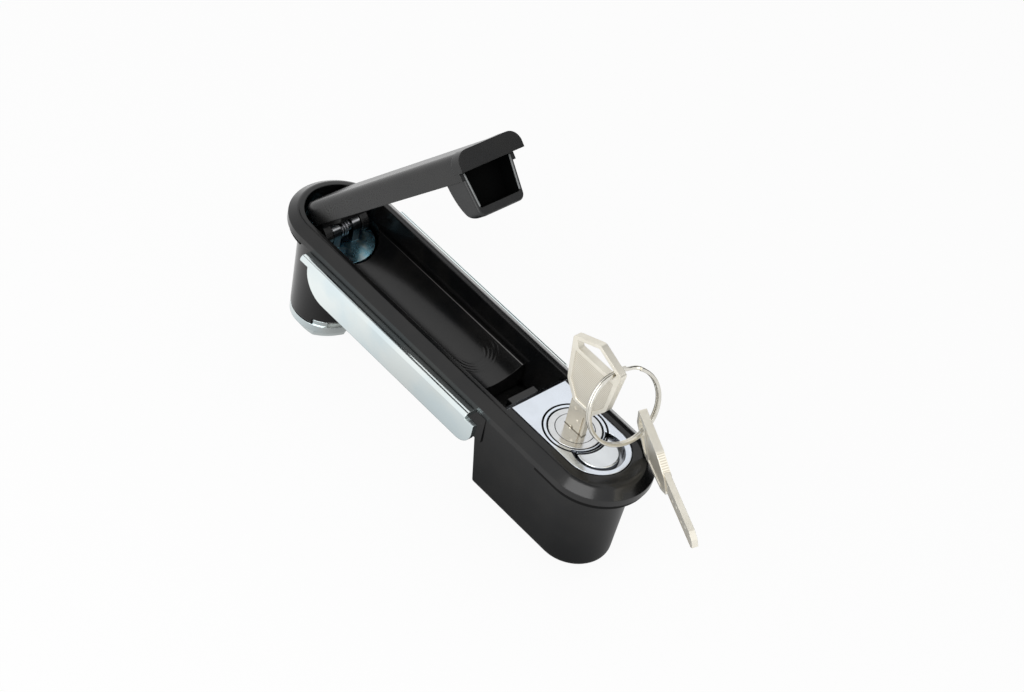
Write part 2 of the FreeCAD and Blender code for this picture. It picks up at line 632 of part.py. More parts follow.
def handleRoot():
    """Deeper part of the arm in front of the hinge."""
    underside = HANDLE_TOP - HANDLE_THICKNESS
    half = HANDLE_HALF_WIDTH - ROOT_INSET
    root = box(ROOT_START_X, ROOT_END_X, -half, half, underside - ROOT_DROP, underside + LUG_LAP)
    lower = [edge for edge in root.Edges
             if atHeight(edge, underside - ROOT_DROP) and edge.BoundBox.XLength < NEAR]
    return root.makeChamfer(ROOT_INSET, lower)


def handleLever():
    """Lever arm with the deeper root, the hinge lugs and the cap at its front end."""
    underside = HANDLE_TOP - HANDLE_THICKNESS
    lapTop = underside + LUG_LAP
    pieces = [armPlate(), handleCap(), handleRoot()]
    lugInner = EAR_INNER + EAR_THICKNESS + LUG_GAP
    for side in (-1, 1):
        y0 = lugInner if side > 0 else -lugInner - LUG_THICKNESS
        y1 = y0 + LUG_THICKNESS
        pieces.append(Part.makeCylinder(LUG_RADIUS, LUG_THICKNESS, Vector(0, y0, 0), ALONG_Y))
        pieces.append(box(-LUG_RADIUS, LUG_RADIUS, y0, y1, 0, lapTop))
        pieces.append(box(0, ROOT_START_X + OVERCUT, y0, y1, underside - ROOT_DROP, lapTop))
    boreLength = HINGE_PIN_LENGTH + 2 * HINGE_PIN_END_GAP
    boreStart = Vector(0, -boreLength / 2, 0)
    bore = Part.makeCylinder(HINGE_PIN_RADIUS + PRESS_CLEARANCE, boreLength, boreStart, ALONG_Y)
    return lifted(fuseAll(pieces).cut(bore).cut(hoodCavity()))


def hoodOutline(bottom):
    """Side outline of the hood, its lower rear corner an elliptic quarter."""
    y = -THROUGH / 2
    rear = HOOD_FRONT_X - HOOD_LENGTH
    centre = Vector(rear + HOOD_HEEL_LENGTH, y, bottom + HOOD_HEEL_HEIGHT)
    heelBottom = centre - Vector(0, 0, HOOD_HEEL_HEIGHT)
    heelRear = centre - Vector(HOOD_HEEL_LENGTH, 0, 0)
    heel = Part.ArcOfEllipse(Part.Ellipse(heelBottom, heelRear, centre), 0, math.pi / 2)
    corners = [heelRear, Vector(rear, y, HANDLE_TOP), Vector(HOOD_FRONT_X, y, HANDLE_TOP),
               Vector(HOOD_FRONT_X, y, bottom), heelBottom]
    edges = [Part.LineSegment(first, second).toShape() for first, second in zip(corners, corners[1:])]
    return Part.Wire([heel.toShape()] + edges)


def hoodBlock(x0, x1, bottom, lowerHalf, top, upperHalf, lowerRound):
    """Block lying along X that narrows downwards, its two lower long edges rounded."""
    corners = [(x0, -lowerHalf, bottom), (x0, lowerHalf, bottom), (x0, upperHalf, top), (x0, -upperHalf, top)]
    block = prism(corners, (x1 - x0, 0, 0))
    return roundedEdges(block, lowerRound, lambda edge: atHeight(edge, bottom)
                        and edge.BoundBox.YLength < NEAR)


def hoodCavity():
    """Room inside the hood and in the arm above it, open to the front and as high as the cap's edge."""
    top = HANDLE_TOP - CAP_HEIGHT
    bottom = top - HOOD_DROP
    narrowing = (HOOD_TOP_HALF_WIDTH - HOOD_BOTTOM_HALF_WIDTH) / HOOD_DROP
    lowerHalf = HOOD_BOTTOM_HALF_WIDTH + narrowing * HOOD_FLOOR - HOOD_WALL
    return hoodBlock(HOOD_FRONT_X - HOOD_CAVITY_DEPTH, HOOD_FRONT_X + OVERCUT, bottom + HOOD_FLOOR, lowerHalf,
                     top, HOOD_TOP_HALF_WIDTH - HOOD_WALL, HOOD_SIDE_ROUND - HOOD_WALL)


def hood():
    """Box under the handle's front end, open to the front, that the bolt enters."""
    top = HANDLE_TOP - CAP_HEIGHT
    bottom = top - HOOD_DROP
    side = Part.Face(hoodOutline(bottom)).extrude(Vector(0, THROUGH, 0))
    rear = HOOD_FRONT_X - HOOD_LENGTH
    outer = hoodBlock(rear - OVERCUT, HOOD_FRONT_X + OVERCUT, bottom, HOOD_BOTTOM_HALF_WIDTH, top,
                      HOOD_TOP_HALF_WIDTH, HOOD_SIDE_ROUND)
    shell = side.common(outer).common(belowArm())
    shell = roundedEdges(shell, HOOD_FRONT_ROUND, lambda edge: atHeight(edge, bottom)
                         and edge.BoundBox.XMin > HOOD_FRONT_X - NEAR)
    return lifted(shell.cut(hoodCavity()))


def hingePin():
    """Pin across the ears and lugs."""
    start = Vector(0, -HINGE_PIN_LENGTH / 2, 0)
    return lifted(Part.makeCylinder(HINGE_PIN_RADIUS, HINGE_PIN_LENGTH, start, ALONG_Y))


def popUpSpring():
    """Torsion spring round the hinge pin, one leg under the arm."""
    length = SPRING_TURNS * (SPRING_WIRE + SPRING_COIL_GAP)
    coil = helixSpring(SPRING_COIL_RADIUS, SPRING_WIRE, SPRING_TURNS, -length / 2, length / 2, 0, 0)
    coil.rotate(ORIGIN, Vector(1, 0, 0), -90)
    legTop = HANDLE_TOP - HANDLE_THICKNESS - SPRING_LEG_GAP
    leg = Part.makeCylinder(SPRING_WIRE / 2, legTop, Vector(SPRING_COIL_RADIUS, length / 2, 0))
    return lifted(fuseAll([coil, leg]))


def lockBlock():
    """Bright block that holds the cylinder and the button, with a winged nose that ramps down to the pit."""
    top = FLANGE_HEIGHT
    block = tongue(BLOCK_NOSE_X, BLOCK_END_X, -BLOCK_DEPTH, top, BLOCK_HALF_WIDTH)
    wingHalf = TROUGH_HALF_WIDTH - BLOCK_SIDE_GAP
    wings = box(BLOCK_NOSE_X, BLOCK_NOSE_X + BLOCK_WING_LENGTH, -wingHalf, wingHalf, -TRAY_LEDGE_DEPTH, top)
    block = fuseAll([block, wings])
    rampFoot = top - BLOCK_RAMP
    ramp = prism([(BLOCK_NOSE_X - OVERCUT, -THROUGH / 2, rampFoot - OVERCUT),
                  (BLOCK_NOSE_X + BLOCK_RAMP + OVERCUT, -THROUGH / 2, top + OVERCUT),
                  (BLOCK_NOSE_X - OVERCUT, -THROUGH / 2, top + OVERCUT)], (0, THROUGH, 0))
    block = block.cut(ramp)

    # Seat of the cylinder with its bevelled edge, and the ring line round it
    seat = CYLINDER_RADIUS + PRESS_CLEARANCE
    bevel = CYLINDER_EDGE_BEVEL
    block = block.cut(cylinder(CYLINDER_X, 0, -CYLINDER_DEPTH, top, seat))
    block = block.cut(Part.makeCone(seat, seat + bevel, bevel, Vector(CYLINDER_X, 0, top - bevel)))
    groove = tube(CYLINDER_X, 0, top - RING_GROOVE, top, RING_GROOVE_RADIUS, RING_GROOVE_RADIUS - RING_GROOVE)
    block = block.cut(groove)

    # Pocket and shaft of the button, with the shelf that its spring stands on
    keep = cylinder(CYLINDER_X, 0, -THROUGH, THROUGH, CYLINDER_RADIUS + CYLINDER_WALL_LEFT)
    pocket = cylinder(BUTTON_X, 0, top - BLOCK_POCKET_DEPTH, top, BLOCK_POCKET_RADIUS).cut(keep)
    shaft = cylinder(BUTTON_X, 0, -SHELF_DEPTH, top, BUTTON_RADIUS + BUTTON_CLEARANCE).cut(keep)
    block = block.cut(pocket).cut(shaft)
    block = block.cut(cylinder(STEM_X, 0, -BLOCK_DEPTH, -SHELF_DEPTH, STEM_RADIUS + BUTTON_CLEARANCE))

    # Window and channel of the bolt, and room for the cam under the plug
    gap = BOLT_CLEARANCE
    half = BOLT_HALF_WIDTH + gap
    barHalf = BOLT_BAR_HALF_WIDTH + gap
    rear = BOLT_REAR_X + gap + BOLT_END_ROOM
    armX = BOLT_REAR_X - BOLT_ARM_LENGTH - BUTTON_TRAVEL - gap
    barEnd = STEM_X + STEM_RADIUS + gap
    windowBottom = -BOLT_TOP_DEPTH - BOLT_HEIGHT - gap
    window = box(BLOCK_NOSE_X - OVERCUT, rear, -half, half, windowBottom, gap - BOLT_TOP_DEPTH)
    channel = box(armX, rear, -barHalf, barHalf, -BLOCK_DEPTH, -BOLT_TOP_DEPTH)
    barWay = box(armX, barEnd, -barHalf, barHalf, -BLOCK_DEPTH, gap - BOLT_BAR_DEPTH)
    camRoom = cylinder(CYLINDER_X, 0, -BOLT_BAR_DEPTH, -CYLINDER_DEPTH, PLUG_CAM_REACH + PLUG_CAM_ROOM)
    block = block.cut(window).cut(channel).cut(barWay).cut(camRoom)
    tappedTop = -BLOCK_DEPTH + BLOCK_SCREW_BITE + SCREW_TIP_GAP
    for x, y in blockScrewPlaces():
        block = block.cut(cylinder(x, y, -BLOCK_DEPTH, tappedTop, BLOCK_SCREW_RADIUS + PRESS_CLEARANCE))
    return block


def cylinderShell():
    """Fixed outer sleeve of the key cylinder, its upper edge bevelled."""
    inner = PLUG_RADIUS + PLUG_CLEARANCE
    shell = tube(CYLINDER_X, 0, -CYLINDER_DEPTH, FLANGE_HEIGHT, CYLINDER_RADIUS, inner)
    edge = [edge for edge in shell.Edges if atHeight(edge, FLANGE_HEIGHT)
            and edge.BoundBox.XLength > inner + CYLINDER_RADIUS]
    return shell.makeChamfer(CYLINDER_EDGE_BEVEL, edge)


def waferHeights():
    """Lower faces of the wafers, stacked down from the key's entry."""
    first = FLANGE_HEIGHT - WAFER_TOP_DEPTH - WAFER_THICKNESS
    return [first - WAFER_PITCH * number for number in range(WAFER_COUNT)]


def aroundPlug(halfLength, halfWidth, z0, z1):
    """Box centred on the cylinder's axis."""
    return box(CYLINDER_X - halfLength, CYLINDER_X + halfLength, -halfWidth, halfWidth, z0, z1)


def keywayBox(z0, z1):
    """Room for the key's blade between two heights."""
    halfGap = KEY_BLADE_THICKNESS / 2 + KEYWAY_CLEARANCE
    return aroundPlug(KEY_BLADE_HALF_WIDTH + KEYWAY_CLEARANCE, halfGap, z0, z1)


def cylinderPlug():
    """Turning plug with the keyway and the wafer slots."""
    plug = cylinder(CYLINDER_X, 0, -CYLINDER_DEPTH, FLANGE_HEIGHT, PLUG_RADIUS)
    plug = plug.cut(keywayBox(FLANGE_HEIGHT - KEY_INSERTED - KEY_TIP_GAP, FLANGE_HEIGHT))
    gap = WAFER_CLEARANCE
    slotLength = WAFER_LENGTH / 2 + gap
    slotWidth = WAFER_WIDTH / 2 + gap
    for z in waferHeights():
        plug = plug.cut(aroundPlug(slotLength, slotWidth, z - gap, z + WAFER_THICKNESS + gap))
    tappedTop = -CYLINDER_DEPTH + CAM_SCREW_BITE + SCREW_TIP_GAP
    return plug.cut(cylinder(CYLINDER_X, 0, -CYLINDER_DEPTH, tappedTop, CAM_SCREW_RADIUS + PRESS_CLEARANCE))


def wafers():
    """Thin sprung plates round the key, one solid each."""
    plates = []
    for z in waferHeights():
        plate = aroundPlug(WAFER_LENGTH / 2, WAFER_WIDTH / 2, z, z + WAFER_THICKNESS)
        plates.append(plate.cut(keywayBox(z, z + WAFER_THICKNESS)))
    return plates


def plugCam():
    """Finger under the plug that turns with the key."""
    top = -CYLINDER_DEPTH
    bottom = top - PLUG_CAM_THICKNESS
    half = PLUG_CAM_WIDTH / 2
    hub = cylinder(CYLINDER_X, 0, bottom, top, PLUG_CAM_HUB_RADIUS)
    finger = box(CYLINDER_X, CYLINDER_X + PLUG_CAM_REACH, -half, half, bottom, top)
    tip = cylinder(CYLINDER_X, 0, bottom, top, PLUG_CAM_REACH)
    cam = hub.fuse(finger.common(tip)).removeSplitter()
    return cam.cut(cylinder(CYLINDER_X, 0, bottom, top, CAM_SCREW_RADIUS + COVER_GAP))


def camScrew():
    """Screw that holds the cam on the plug."""
    head = -CYLINDER_DEPTH - PLUG_CAM_THICKNESS
    shank = -CYLINDER_DEPTH + CAM_SCREW_BITE
    return screw(CYLINDER_X, 0, head, CAM_SCREW_HEAD_HEIGHT, CAM_SCREW_HEAD_RADIUS, shank, CAM_SCREW_RADIUS)


def belowWedge(gap):
    """Everything below the 45 degree plane on which the stem's foot drives the bolt, less a gap."""
    high = -STEM_FOOT_DEPTH + STEM_RADIUS - gap
    y = -THROUGH / 2
    return prism([(STEM_X - THROUGH, y, high + THROUGH), (STEM_X + THROUGH, y, high - THROUGH),
                  (STEM_X - THROUGH, y, high - THROUGH)], (0, THROUGH, 0))


def releaseButton():
    """Crescent button beside the cylinder, with a stem that ends in a 45 degree foot."""
    top = FLANGE_HEIGHT - BUTTON_TOP_GAP
    bottom = top - BUTTON_HEIGHT
    keep = cylinder(CYLINDER_X, 0, -THROUGH, THROUGH, CYLINDER_RADIUS + CYLINDER_WALL_LEFT + BUTTON_CLEARANCE)
    head = cylinder(BUTTON_X, 0, bottom, top, BUTTON_RADIUS).cut(keep)
    head = roundedEdges(head, BUTTON_ROUND, lambda edge: atHeight(edge, top))
    stem = cylinder(STEM_X, 0, -STEM_FOOT_DEPTH, bottom + STEM_LAP, STEM_RADIUS)
    return fuseAll([head, stem.cut(belowWedge(0))])


def buttonSpring():
    """Return spring between the shelf and the button."""
    seat = BUTTON_SPRING_WIRE / 2 + BUTTON_SPRING_SEAT_GAP
    low = -SHELF_DEPTH + seat
    high = FLANGE_HEIGHT - BUTTON_TOP_GAP - BUTTON_HEIGHT - seat
    return helixSpring(BUTTON_SPRING_RADIUS, BUTTON_SPRING_WIRE, BUTTON_SPRING_TURNS, low, high, STEM_X, 0)


def lockBolt():
    """Bolt whose nose stands out of the block, with an arm down and a bar back to the button's foot."""
    noseX = BLOCK_NOSE_X - BOLT_PROUD
    noseBottom = -BOLT_TOP_DEPTH - BOLT_HEIGHT
    nose = box(noseX, BOLT_REAR_X, -BOLT_HALF_WIDTH, BOLT_HALF_WIDTH, noseBottom, -BOLT_TOP_DEPTH)
    armX = BOLT_REAR_X - BOLT_ARM_LENGTH
    half = BOLT_BAR_HALF_WIDTH
    barTop = -BOLT_BAR_DEPTH
    barBottom = barTop - BOLT_BAR_HEIGHT
    arm = box(armX, BOLT_REAR_X, -half, half, barBottom, noseBottom + OVERCUT)
    bar = box(armX, STEM_X + THROUGH, -half, half, barBottom, barTop)
    return fuseAll([nose, arm, bar.common(belowWedge(WEDGE_GAP))])


def bracketSide(side, bottom):
    """One leg of the clamp bracket with the lip folded in over the door, and its strip of the web."""
    sheet = BRACKET_SHEET
    outer = side * BRACKET_HALF_WIDTH
    inner = side * (BRACKET_HALF_WIDTH - sheet)
    leg = prism([(BRACKET_START_X, outer, bottom), (BRACKET_END_X, outer, bottom),
                 (BRACKET_END_X, outer, -BRACKET_END_DROP), (BRACKET_LIP_END_X, outer, -BRACKET_END_DROP),
                 (BRACKET_LIP_END_X, outer, 0), (BRACKET_START_X, outer, 0)],
                (0, inner - outer, 0))
    for x, corner in ((BRACKET_START_X, BRACKET_CORNER_START), (BRACKET_END_X, BRACKET_CORNER_END)):
        leg = roundedEdges(leg, corner, lambda edge: edge.BoundBox.YLength > sheet - NEAR
                           and abs(edge.BoundBox.Center.x - x) < NEAR and atHeight(edge, bottom))
    y0, y1 = sorted((side * BRACKET_LIP_INNER, outer))
    lip = box(BRACKET_LIP_START_X, BRACKET_LIP_END_X, y0, y1, -sheet, 0)
    lip = roundedEdges(lip, BRACKET_LIP_ROUND, lambda edge: edge.BoundBox.ZLength > sheet - NEAR
                       and abs(edge.BoundBox.Center.y - side * BRACKET_LIP_INNER) < NEAR)
    y0, y1 = sorted((side * (BRACKET_HALF_WIDTH - BRACKET_BEND), outer))
    return [leg, lip, box(BRACKET_WEB_START_X, BRACKET_WEB_END_X, y0, y1, bottom, bottom + sheet)]


def clampBracket():
    """Folded steel channel that draws the flange against the door from behind."""
    bottom = TRAY_UNDERSIDE - BRACKET_WEB_GAP - BRACKET_SHEET
    webHalf = BRACKET_HALF_WIDTH - BRACKET_BEND
    web = box(BRACKET_WEB_START_X, BRACKET_WEB_END_X, -webHalf, webHalf, bottom, bottom + BRACKET_SHEET)
    channel = fuseAll([web] + bracketSide(-1, bottom) + bracketSide(1, bottom))
    channel = roundedEdges(channel, BRACKET_FOLD_ROUND, isFold)
    for x in BRACKET_SCREW_XS:
        hole = BRACKET_SCREW_RADIUS + COVER_GAP
        channel = channel.cut(cylinder(x, 0, bottom, bottom + BRACKET_SHEET, hole))
    return channel


def isFold(edge):
    """Whether an edge of the channel is the long outer edge of a lip, where the sheet is folded."""
    bounds = edge.BoundBox
    outer = abs(abs(bounds.YMin) - BRACKET_HALF_WIDTH) < NEAR and bounds.YLength < NEAR
    return outer and atHeight(edge, 0) and bounds.XLength > BRACKET_HALF_WIDTH


def bracketScrews():
    """Screws through the bracket's web into the tray."""
    head = TRAY_UNDERSIDE - BRACKET_WEB_GAP - BRACKET_SHEET - WASHER_THICKNESS
    shank = TRAY_UNDERSIDE + BRACKET_SCREW_BITE
    headRadius = BRACKET_SCREW_HEAD_RADIUS
    return [screw(x, 0, head, BRACKET_SCREW_HEAD_HEIGHT, headRadius, shank, BRACKET_SCREW_RADIUS)
            for x in BRACKET_SCREW_XS]


def bracketWashers():
    """Flat washers under the bracket's screw heads."""
    top = TRAY_UNDERSIDE - BRACKET_WEB_GAP - BRACKET_SHEET
    return [tube(x, 0, top - WASHER_THICKNESS, top, WASHER_RADIUS, BRACKET_SCREW_RADIUS + COVER_GAP)
            for x in BRACKET_SCREW_XS]


def keyBow():
    """Six-sided head of the key with the hole for the ring."""
    outline = [
        (0, 0), (KEY_BOW_RISE, KEY_BOW_HALF_WIDTH), (KEY_BOW_WAIST, KEY_BOW_WAIST_HALF_WIDTH),
        (KEY_BOW_LENGTH, KEY_NECK_HALF_WIDTH), (KEY_BOW_LENGTH, -KEY_NECK_HALF_WIDTH),
        (KEY_BOW_WAIST, -KEY_BOW_WAIST_HALF_WIDTH), (KEY_BOW_RISE, -KEY_BOW_HALF_WIDTH),
    ]
    half = KEY_BOW_THICKNESS / 2
    bow = prism([(x, y, -half) for x, y in outline], (0, 0, KEY_BOW_THICKNESS))
    bow = roundedEdges(bow, KEY_BOW_ROUND, lambda edge: edge.BoundBox.ZLength > KEY_BOW_THICKNESS - NEAR)
    first = KEY_HOLE_FROM_TOP
    last = first + KEY_HOLE_HEIGHT
    width = KEY_HOLE_HALF_WIDTH
    narrow = width - KEY_HOLE_TAPER
    hole = prism([(first, 0, -half), (first + KEY_HOLE_RISE, width, -half), (last, narrow, -half),
                  (last, -narrow, -half), (first + KEY_HOLE_RISE, -width, -half)], (0, 0, KEY_BOW_THICKNESS))
    bow = bow.cut(hole)
    bow.translate(Vector(0, KEY_BOW_OFFSET, 0))
    return bow


def keyShape():
    """Key in its own frame: top of the bow at the origin, length along +X, width on Y and thickness on Z."""
    bladeHalf = KEY_BLADE_THICKNESS / 2
    bladeStart = KEY_BOW_LENGTH - KEY_BLADE_LAP
    blade = box(bladeStart, KEY_LENGTH, -KEY_BLADE_HALF_WIDTH, KEY_BLADE_HALF_WIDTH, -bladeHalf, bladeHalf)
    tips = [edge for edge in blade.Edges if edge.BoundBox.ZLength > KEY_BLADE_THICKNESS - NEAR
            and edge.BoundBox.XMin > KEY_LENGTH - NEAR]
    blade = blade.makeChamfer(KEY_TIP_BEVEL, tips)
    key = keyBow().fuse(blade).removeSplitter()
    tipRadius = KEY_DIMPLE_RADIUS * KEY_DIMPLE_TIP_SHARE
    for across, along in KEY_DIMPLES:
        for side in (-1, 1):
            tip = Vector(along, across, side * (bladeHalf - KEY_DIMPLE_DEPTH))
            depth = KEY_DIMPLE_DEPTH + KEY_DIMPLE_LAP
            key = key.cut(Part.makeCone(tipRadius, KEY_DIMPLE_RADIUS, depth, tip, Vector(0, 0, side)))
    return key


def placed(shape, origin, xAxis, yAxis, zAxis):
    """Shape moved so that its own axes lie along three given directions."""
    matrix = Matrix(xAxis.x, yAxis.x, zAxis.x, origin.x, xAxis.y, yAxis.y, zAxis.y, origin.y,
                    xAxis.z, yAxis.z, zAxis.z, origin.z, 0, 0, 0, 1)
    moved = shape.copy()
    moved.Placement = Placement(matrix)
    return moved


def cylinderKey():
    """Key in the lock, its blade in the keyway and its bow facing the door's side."""
    return placed(keyShape(), KEY_TOP, Vector(0, 0, -1), Vector(1, 0, 0), Vector(0, -1, 0))


def spareKey():
    """Second key, hanging on the ring."""
    yaw = math.radians(SPARE_KEY_YAW)
    roll = math.radians(SPARE_KEY_ROLL)
    along = Vector(math.cos(yaw), math.sin(yaw), 0)
    level = Vector(-math.sin(yaw), math.cos(yaw), 0)
    across = level * math.sin(roll) + Vector(0, 0, -math.cos(roll))
    return placed(keyShape(), SPARE_KEY_TOP, along, across, along.cross(across))


def splitRing():
    """Ring that joins the two keys, as wide as its two turns of strip."""
    normal = Vector(SPLIT_RING_NORMAL)
    normal.normalize()
    half = SPLIT_RING_STRIP / 2
    start = SPLIT_RING_CENTRE - normal * (SPLIT_RING_WIDTH / 2)
    outer = Part.makeCylinder(SPLIT_RING_RADIUS + half, SPLIT_RING_WIDTH, start, normal)
    inner = Part.makeCylinder(SPLIT_RING_RADIUS - half, SPLIT_RING_WIDTH, start, normal)
    return roundedEdges(outer.cut(inner), SPLIT_RING_EDGE_ROUND, lambda edge: edge.Closed)


NODES = {
    "base_housing": baseHousing,
    "end_seals": endSeals,
    "rear_cover": rearCover,
    "cover_screws": coverScrews,
    "block_screws": blockScrews,
    "spindle_fork": spindleFork,
    "spindle_bush": spindleBush,
    "seal_ring": sealRing,
    "stop_washer": stopWasher,
    "spindle_nut": spindleNut,
    "handle_lever": handleLever,
    "handle_hood": hood,
    "hinge_pin": hingePin,
    "pop_up_spring": popUpSpring,
    "lock_block": lockBlock,
    "cylinder_shell": cylinderShell,
    "cylinder_plug": cylinderPlug,
    "wafers": wafers,
    "plug_cam": plugCam,
    "cam_screw": camScrew,
    "release_button": releaseButton,
    "button_spring": buttonSpring,
    "lock_bolt": lockBolt,
    "clamp_bracket": clampBracket,
    "bracket_screws": bracketScrews,
    "bracket_washers": bracketWashers,
    "key": cylinderKey,
    "spare_key": spareKey,
    "split_ring": splitRing,
}


def main():
    """Write one STEP file per sub-part."""
    os.makedirs("parts", exist_ok=True)
    for name, make in NODES.items():
        shape = make()
        if isinstance(shape, list):
            shape = Part.makeCompound(shape)
        print(name, "solids", len(shape.Solids), "valid", shape.isValid(), "volume", round(shape.Volume, 1))
        shape.exportStep("parts/" + name + ".step")


main()
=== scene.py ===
import json
import math

import bmesh
import bpy
from mathutils import Matrix, Vector


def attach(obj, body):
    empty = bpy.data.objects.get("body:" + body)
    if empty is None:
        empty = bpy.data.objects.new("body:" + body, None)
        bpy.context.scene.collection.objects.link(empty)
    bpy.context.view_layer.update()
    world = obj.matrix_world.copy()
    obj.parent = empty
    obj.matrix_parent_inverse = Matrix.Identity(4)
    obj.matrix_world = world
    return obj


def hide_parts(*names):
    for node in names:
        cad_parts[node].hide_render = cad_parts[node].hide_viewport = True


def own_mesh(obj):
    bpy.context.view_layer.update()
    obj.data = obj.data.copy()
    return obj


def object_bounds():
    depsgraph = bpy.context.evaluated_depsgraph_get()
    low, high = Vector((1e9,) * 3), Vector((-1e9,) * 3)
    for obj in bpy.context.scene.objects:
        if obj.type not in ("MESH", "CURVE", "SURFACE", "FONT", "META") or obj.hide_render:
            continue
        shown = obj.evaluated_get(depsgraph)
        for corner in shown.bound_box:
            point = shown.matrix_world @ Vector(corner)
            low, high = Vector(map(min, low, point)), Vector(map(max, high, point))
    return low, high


# Flush swing-handle lock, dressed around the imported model; metres, flange seat at z 0
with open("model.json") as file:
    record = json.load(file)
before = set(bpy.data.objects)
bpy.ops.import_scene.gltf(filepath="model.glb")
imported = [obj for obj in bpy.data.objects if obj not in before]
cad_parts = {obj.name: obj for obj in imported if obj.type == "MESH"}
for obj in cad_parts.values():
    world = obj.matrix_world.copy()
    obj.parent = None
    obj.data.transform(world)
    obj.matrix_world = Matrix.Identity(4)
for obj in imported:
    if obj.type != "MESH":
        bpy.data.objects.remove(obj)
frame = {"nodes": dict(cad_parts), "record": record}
cadLow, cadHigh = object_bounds()
nodes = frame["nodes"]
scene = bpy.context.scene
mm = 0.001
print("frame loaded:", len(nodes), "CAD nodes")

# What every finish shares
shading = {
    "cornerSamples": 6,
    "cornerLean": (0.01, 0.3),  # lean of a corner's normal where its wear starts, and where it is full
    "creviceSamples": 8,
    # painted shade: the plain black that joints and slots fade to
    "shadeBlack": {"Base Color": (0.0005, 0.0005, 0.0005), "Roughness": 1.0, "Specular IOR Level": 0.0},
    "colourMix": {"share": 0, "first": 6, "second": 7, "out": 2},  # sockets of the Mix node set to colours
}


# A wire is one output socket, and sums on wires add Math nodes
class Wire:
    def __init__(self, tree, socket):
        self.tree = tree
        self.socket = socket

    def __add__(self, other):
        return self.tree.maths("ADD", self, other)

    def __radd__(self, other):
        return self.tree.maths("ADD", other, self)

    def __sub__(self, other):
        return self.tree.maths("SUBTRACT", self, other)

    def __rsub__(self, other):
        return self.tree.maths("SUBTRACT", other, self)

    def __mul__(self, other):
        return self.tree.maths("MULTIPLY", self, other)

    def __rmul__(self, other):
        return self.tree.maths("MULTIPLY", other, self)

    def __pow__(self, other):
        return self.tree.maths("POWER", self, other)

    def __gt__(self, other):
        return self.tree.maths("GREATER_THAN", self, other)

    def __lt__(self, other):
        return self.tree.maths("LESS_THAN", self, other)

    def __abs__(self):
        return self.tree.maths("ABSOLUTE", self)

    def atLeast(self, other):
        return self.tree.maths("MAXIMUM", self, other)

    def sine(self):
        return self.tree.maths("SINE", self)

    def softStep(self, low, high):
        ends = {"Value": self, "From Min": low, "From Max": high}
        return self.tree.node("ShaderNodeMapRange", {"interpolation_type": "SMOOTHSTEP"}, ends)


class Tree:
    def __init__(self, nodeTree):
        self.nodeTree = nodeTree

    def feed(self, node, key, value):
        socket = node.inputs[key]
        if isinstance(value, Wire):
            self.nodeTree.links.new(value.socket, socket)
        elif socket.type == "RGBA" and len(value) == 3:
            socket.default_value = (*value, 1.0)
        else:
            socket.default_value = value

    def node(self, kind, settings=None, inputs=None, out=0):
        made = self.nodeTree.nodes.new(kind)
        for key, value in (settings or {}).items():
            setattr(made, key, value)
        for key, value in (inputs or {}).items():
            self.feed(made, key, value)
        return Wire(self, made.outputs[out])

    def maths(self, operation, *values):
        return self.node("ShaderNodeMath", {"operation": operation}, dict(enumerate(values)))

    def rays(self):
        # camera, glossy and transmission rays
        names = ("Is Camera Ray", "Is Glossy Ray", "Is Transmission Ray")
        return [self.node("ShaderNodeLightPath", out=name) for name in names]

    def shaders(self, share, first, second):
        return self.node("ShaderNodeMixShader", None, {0: share, 1: first, 2: second})


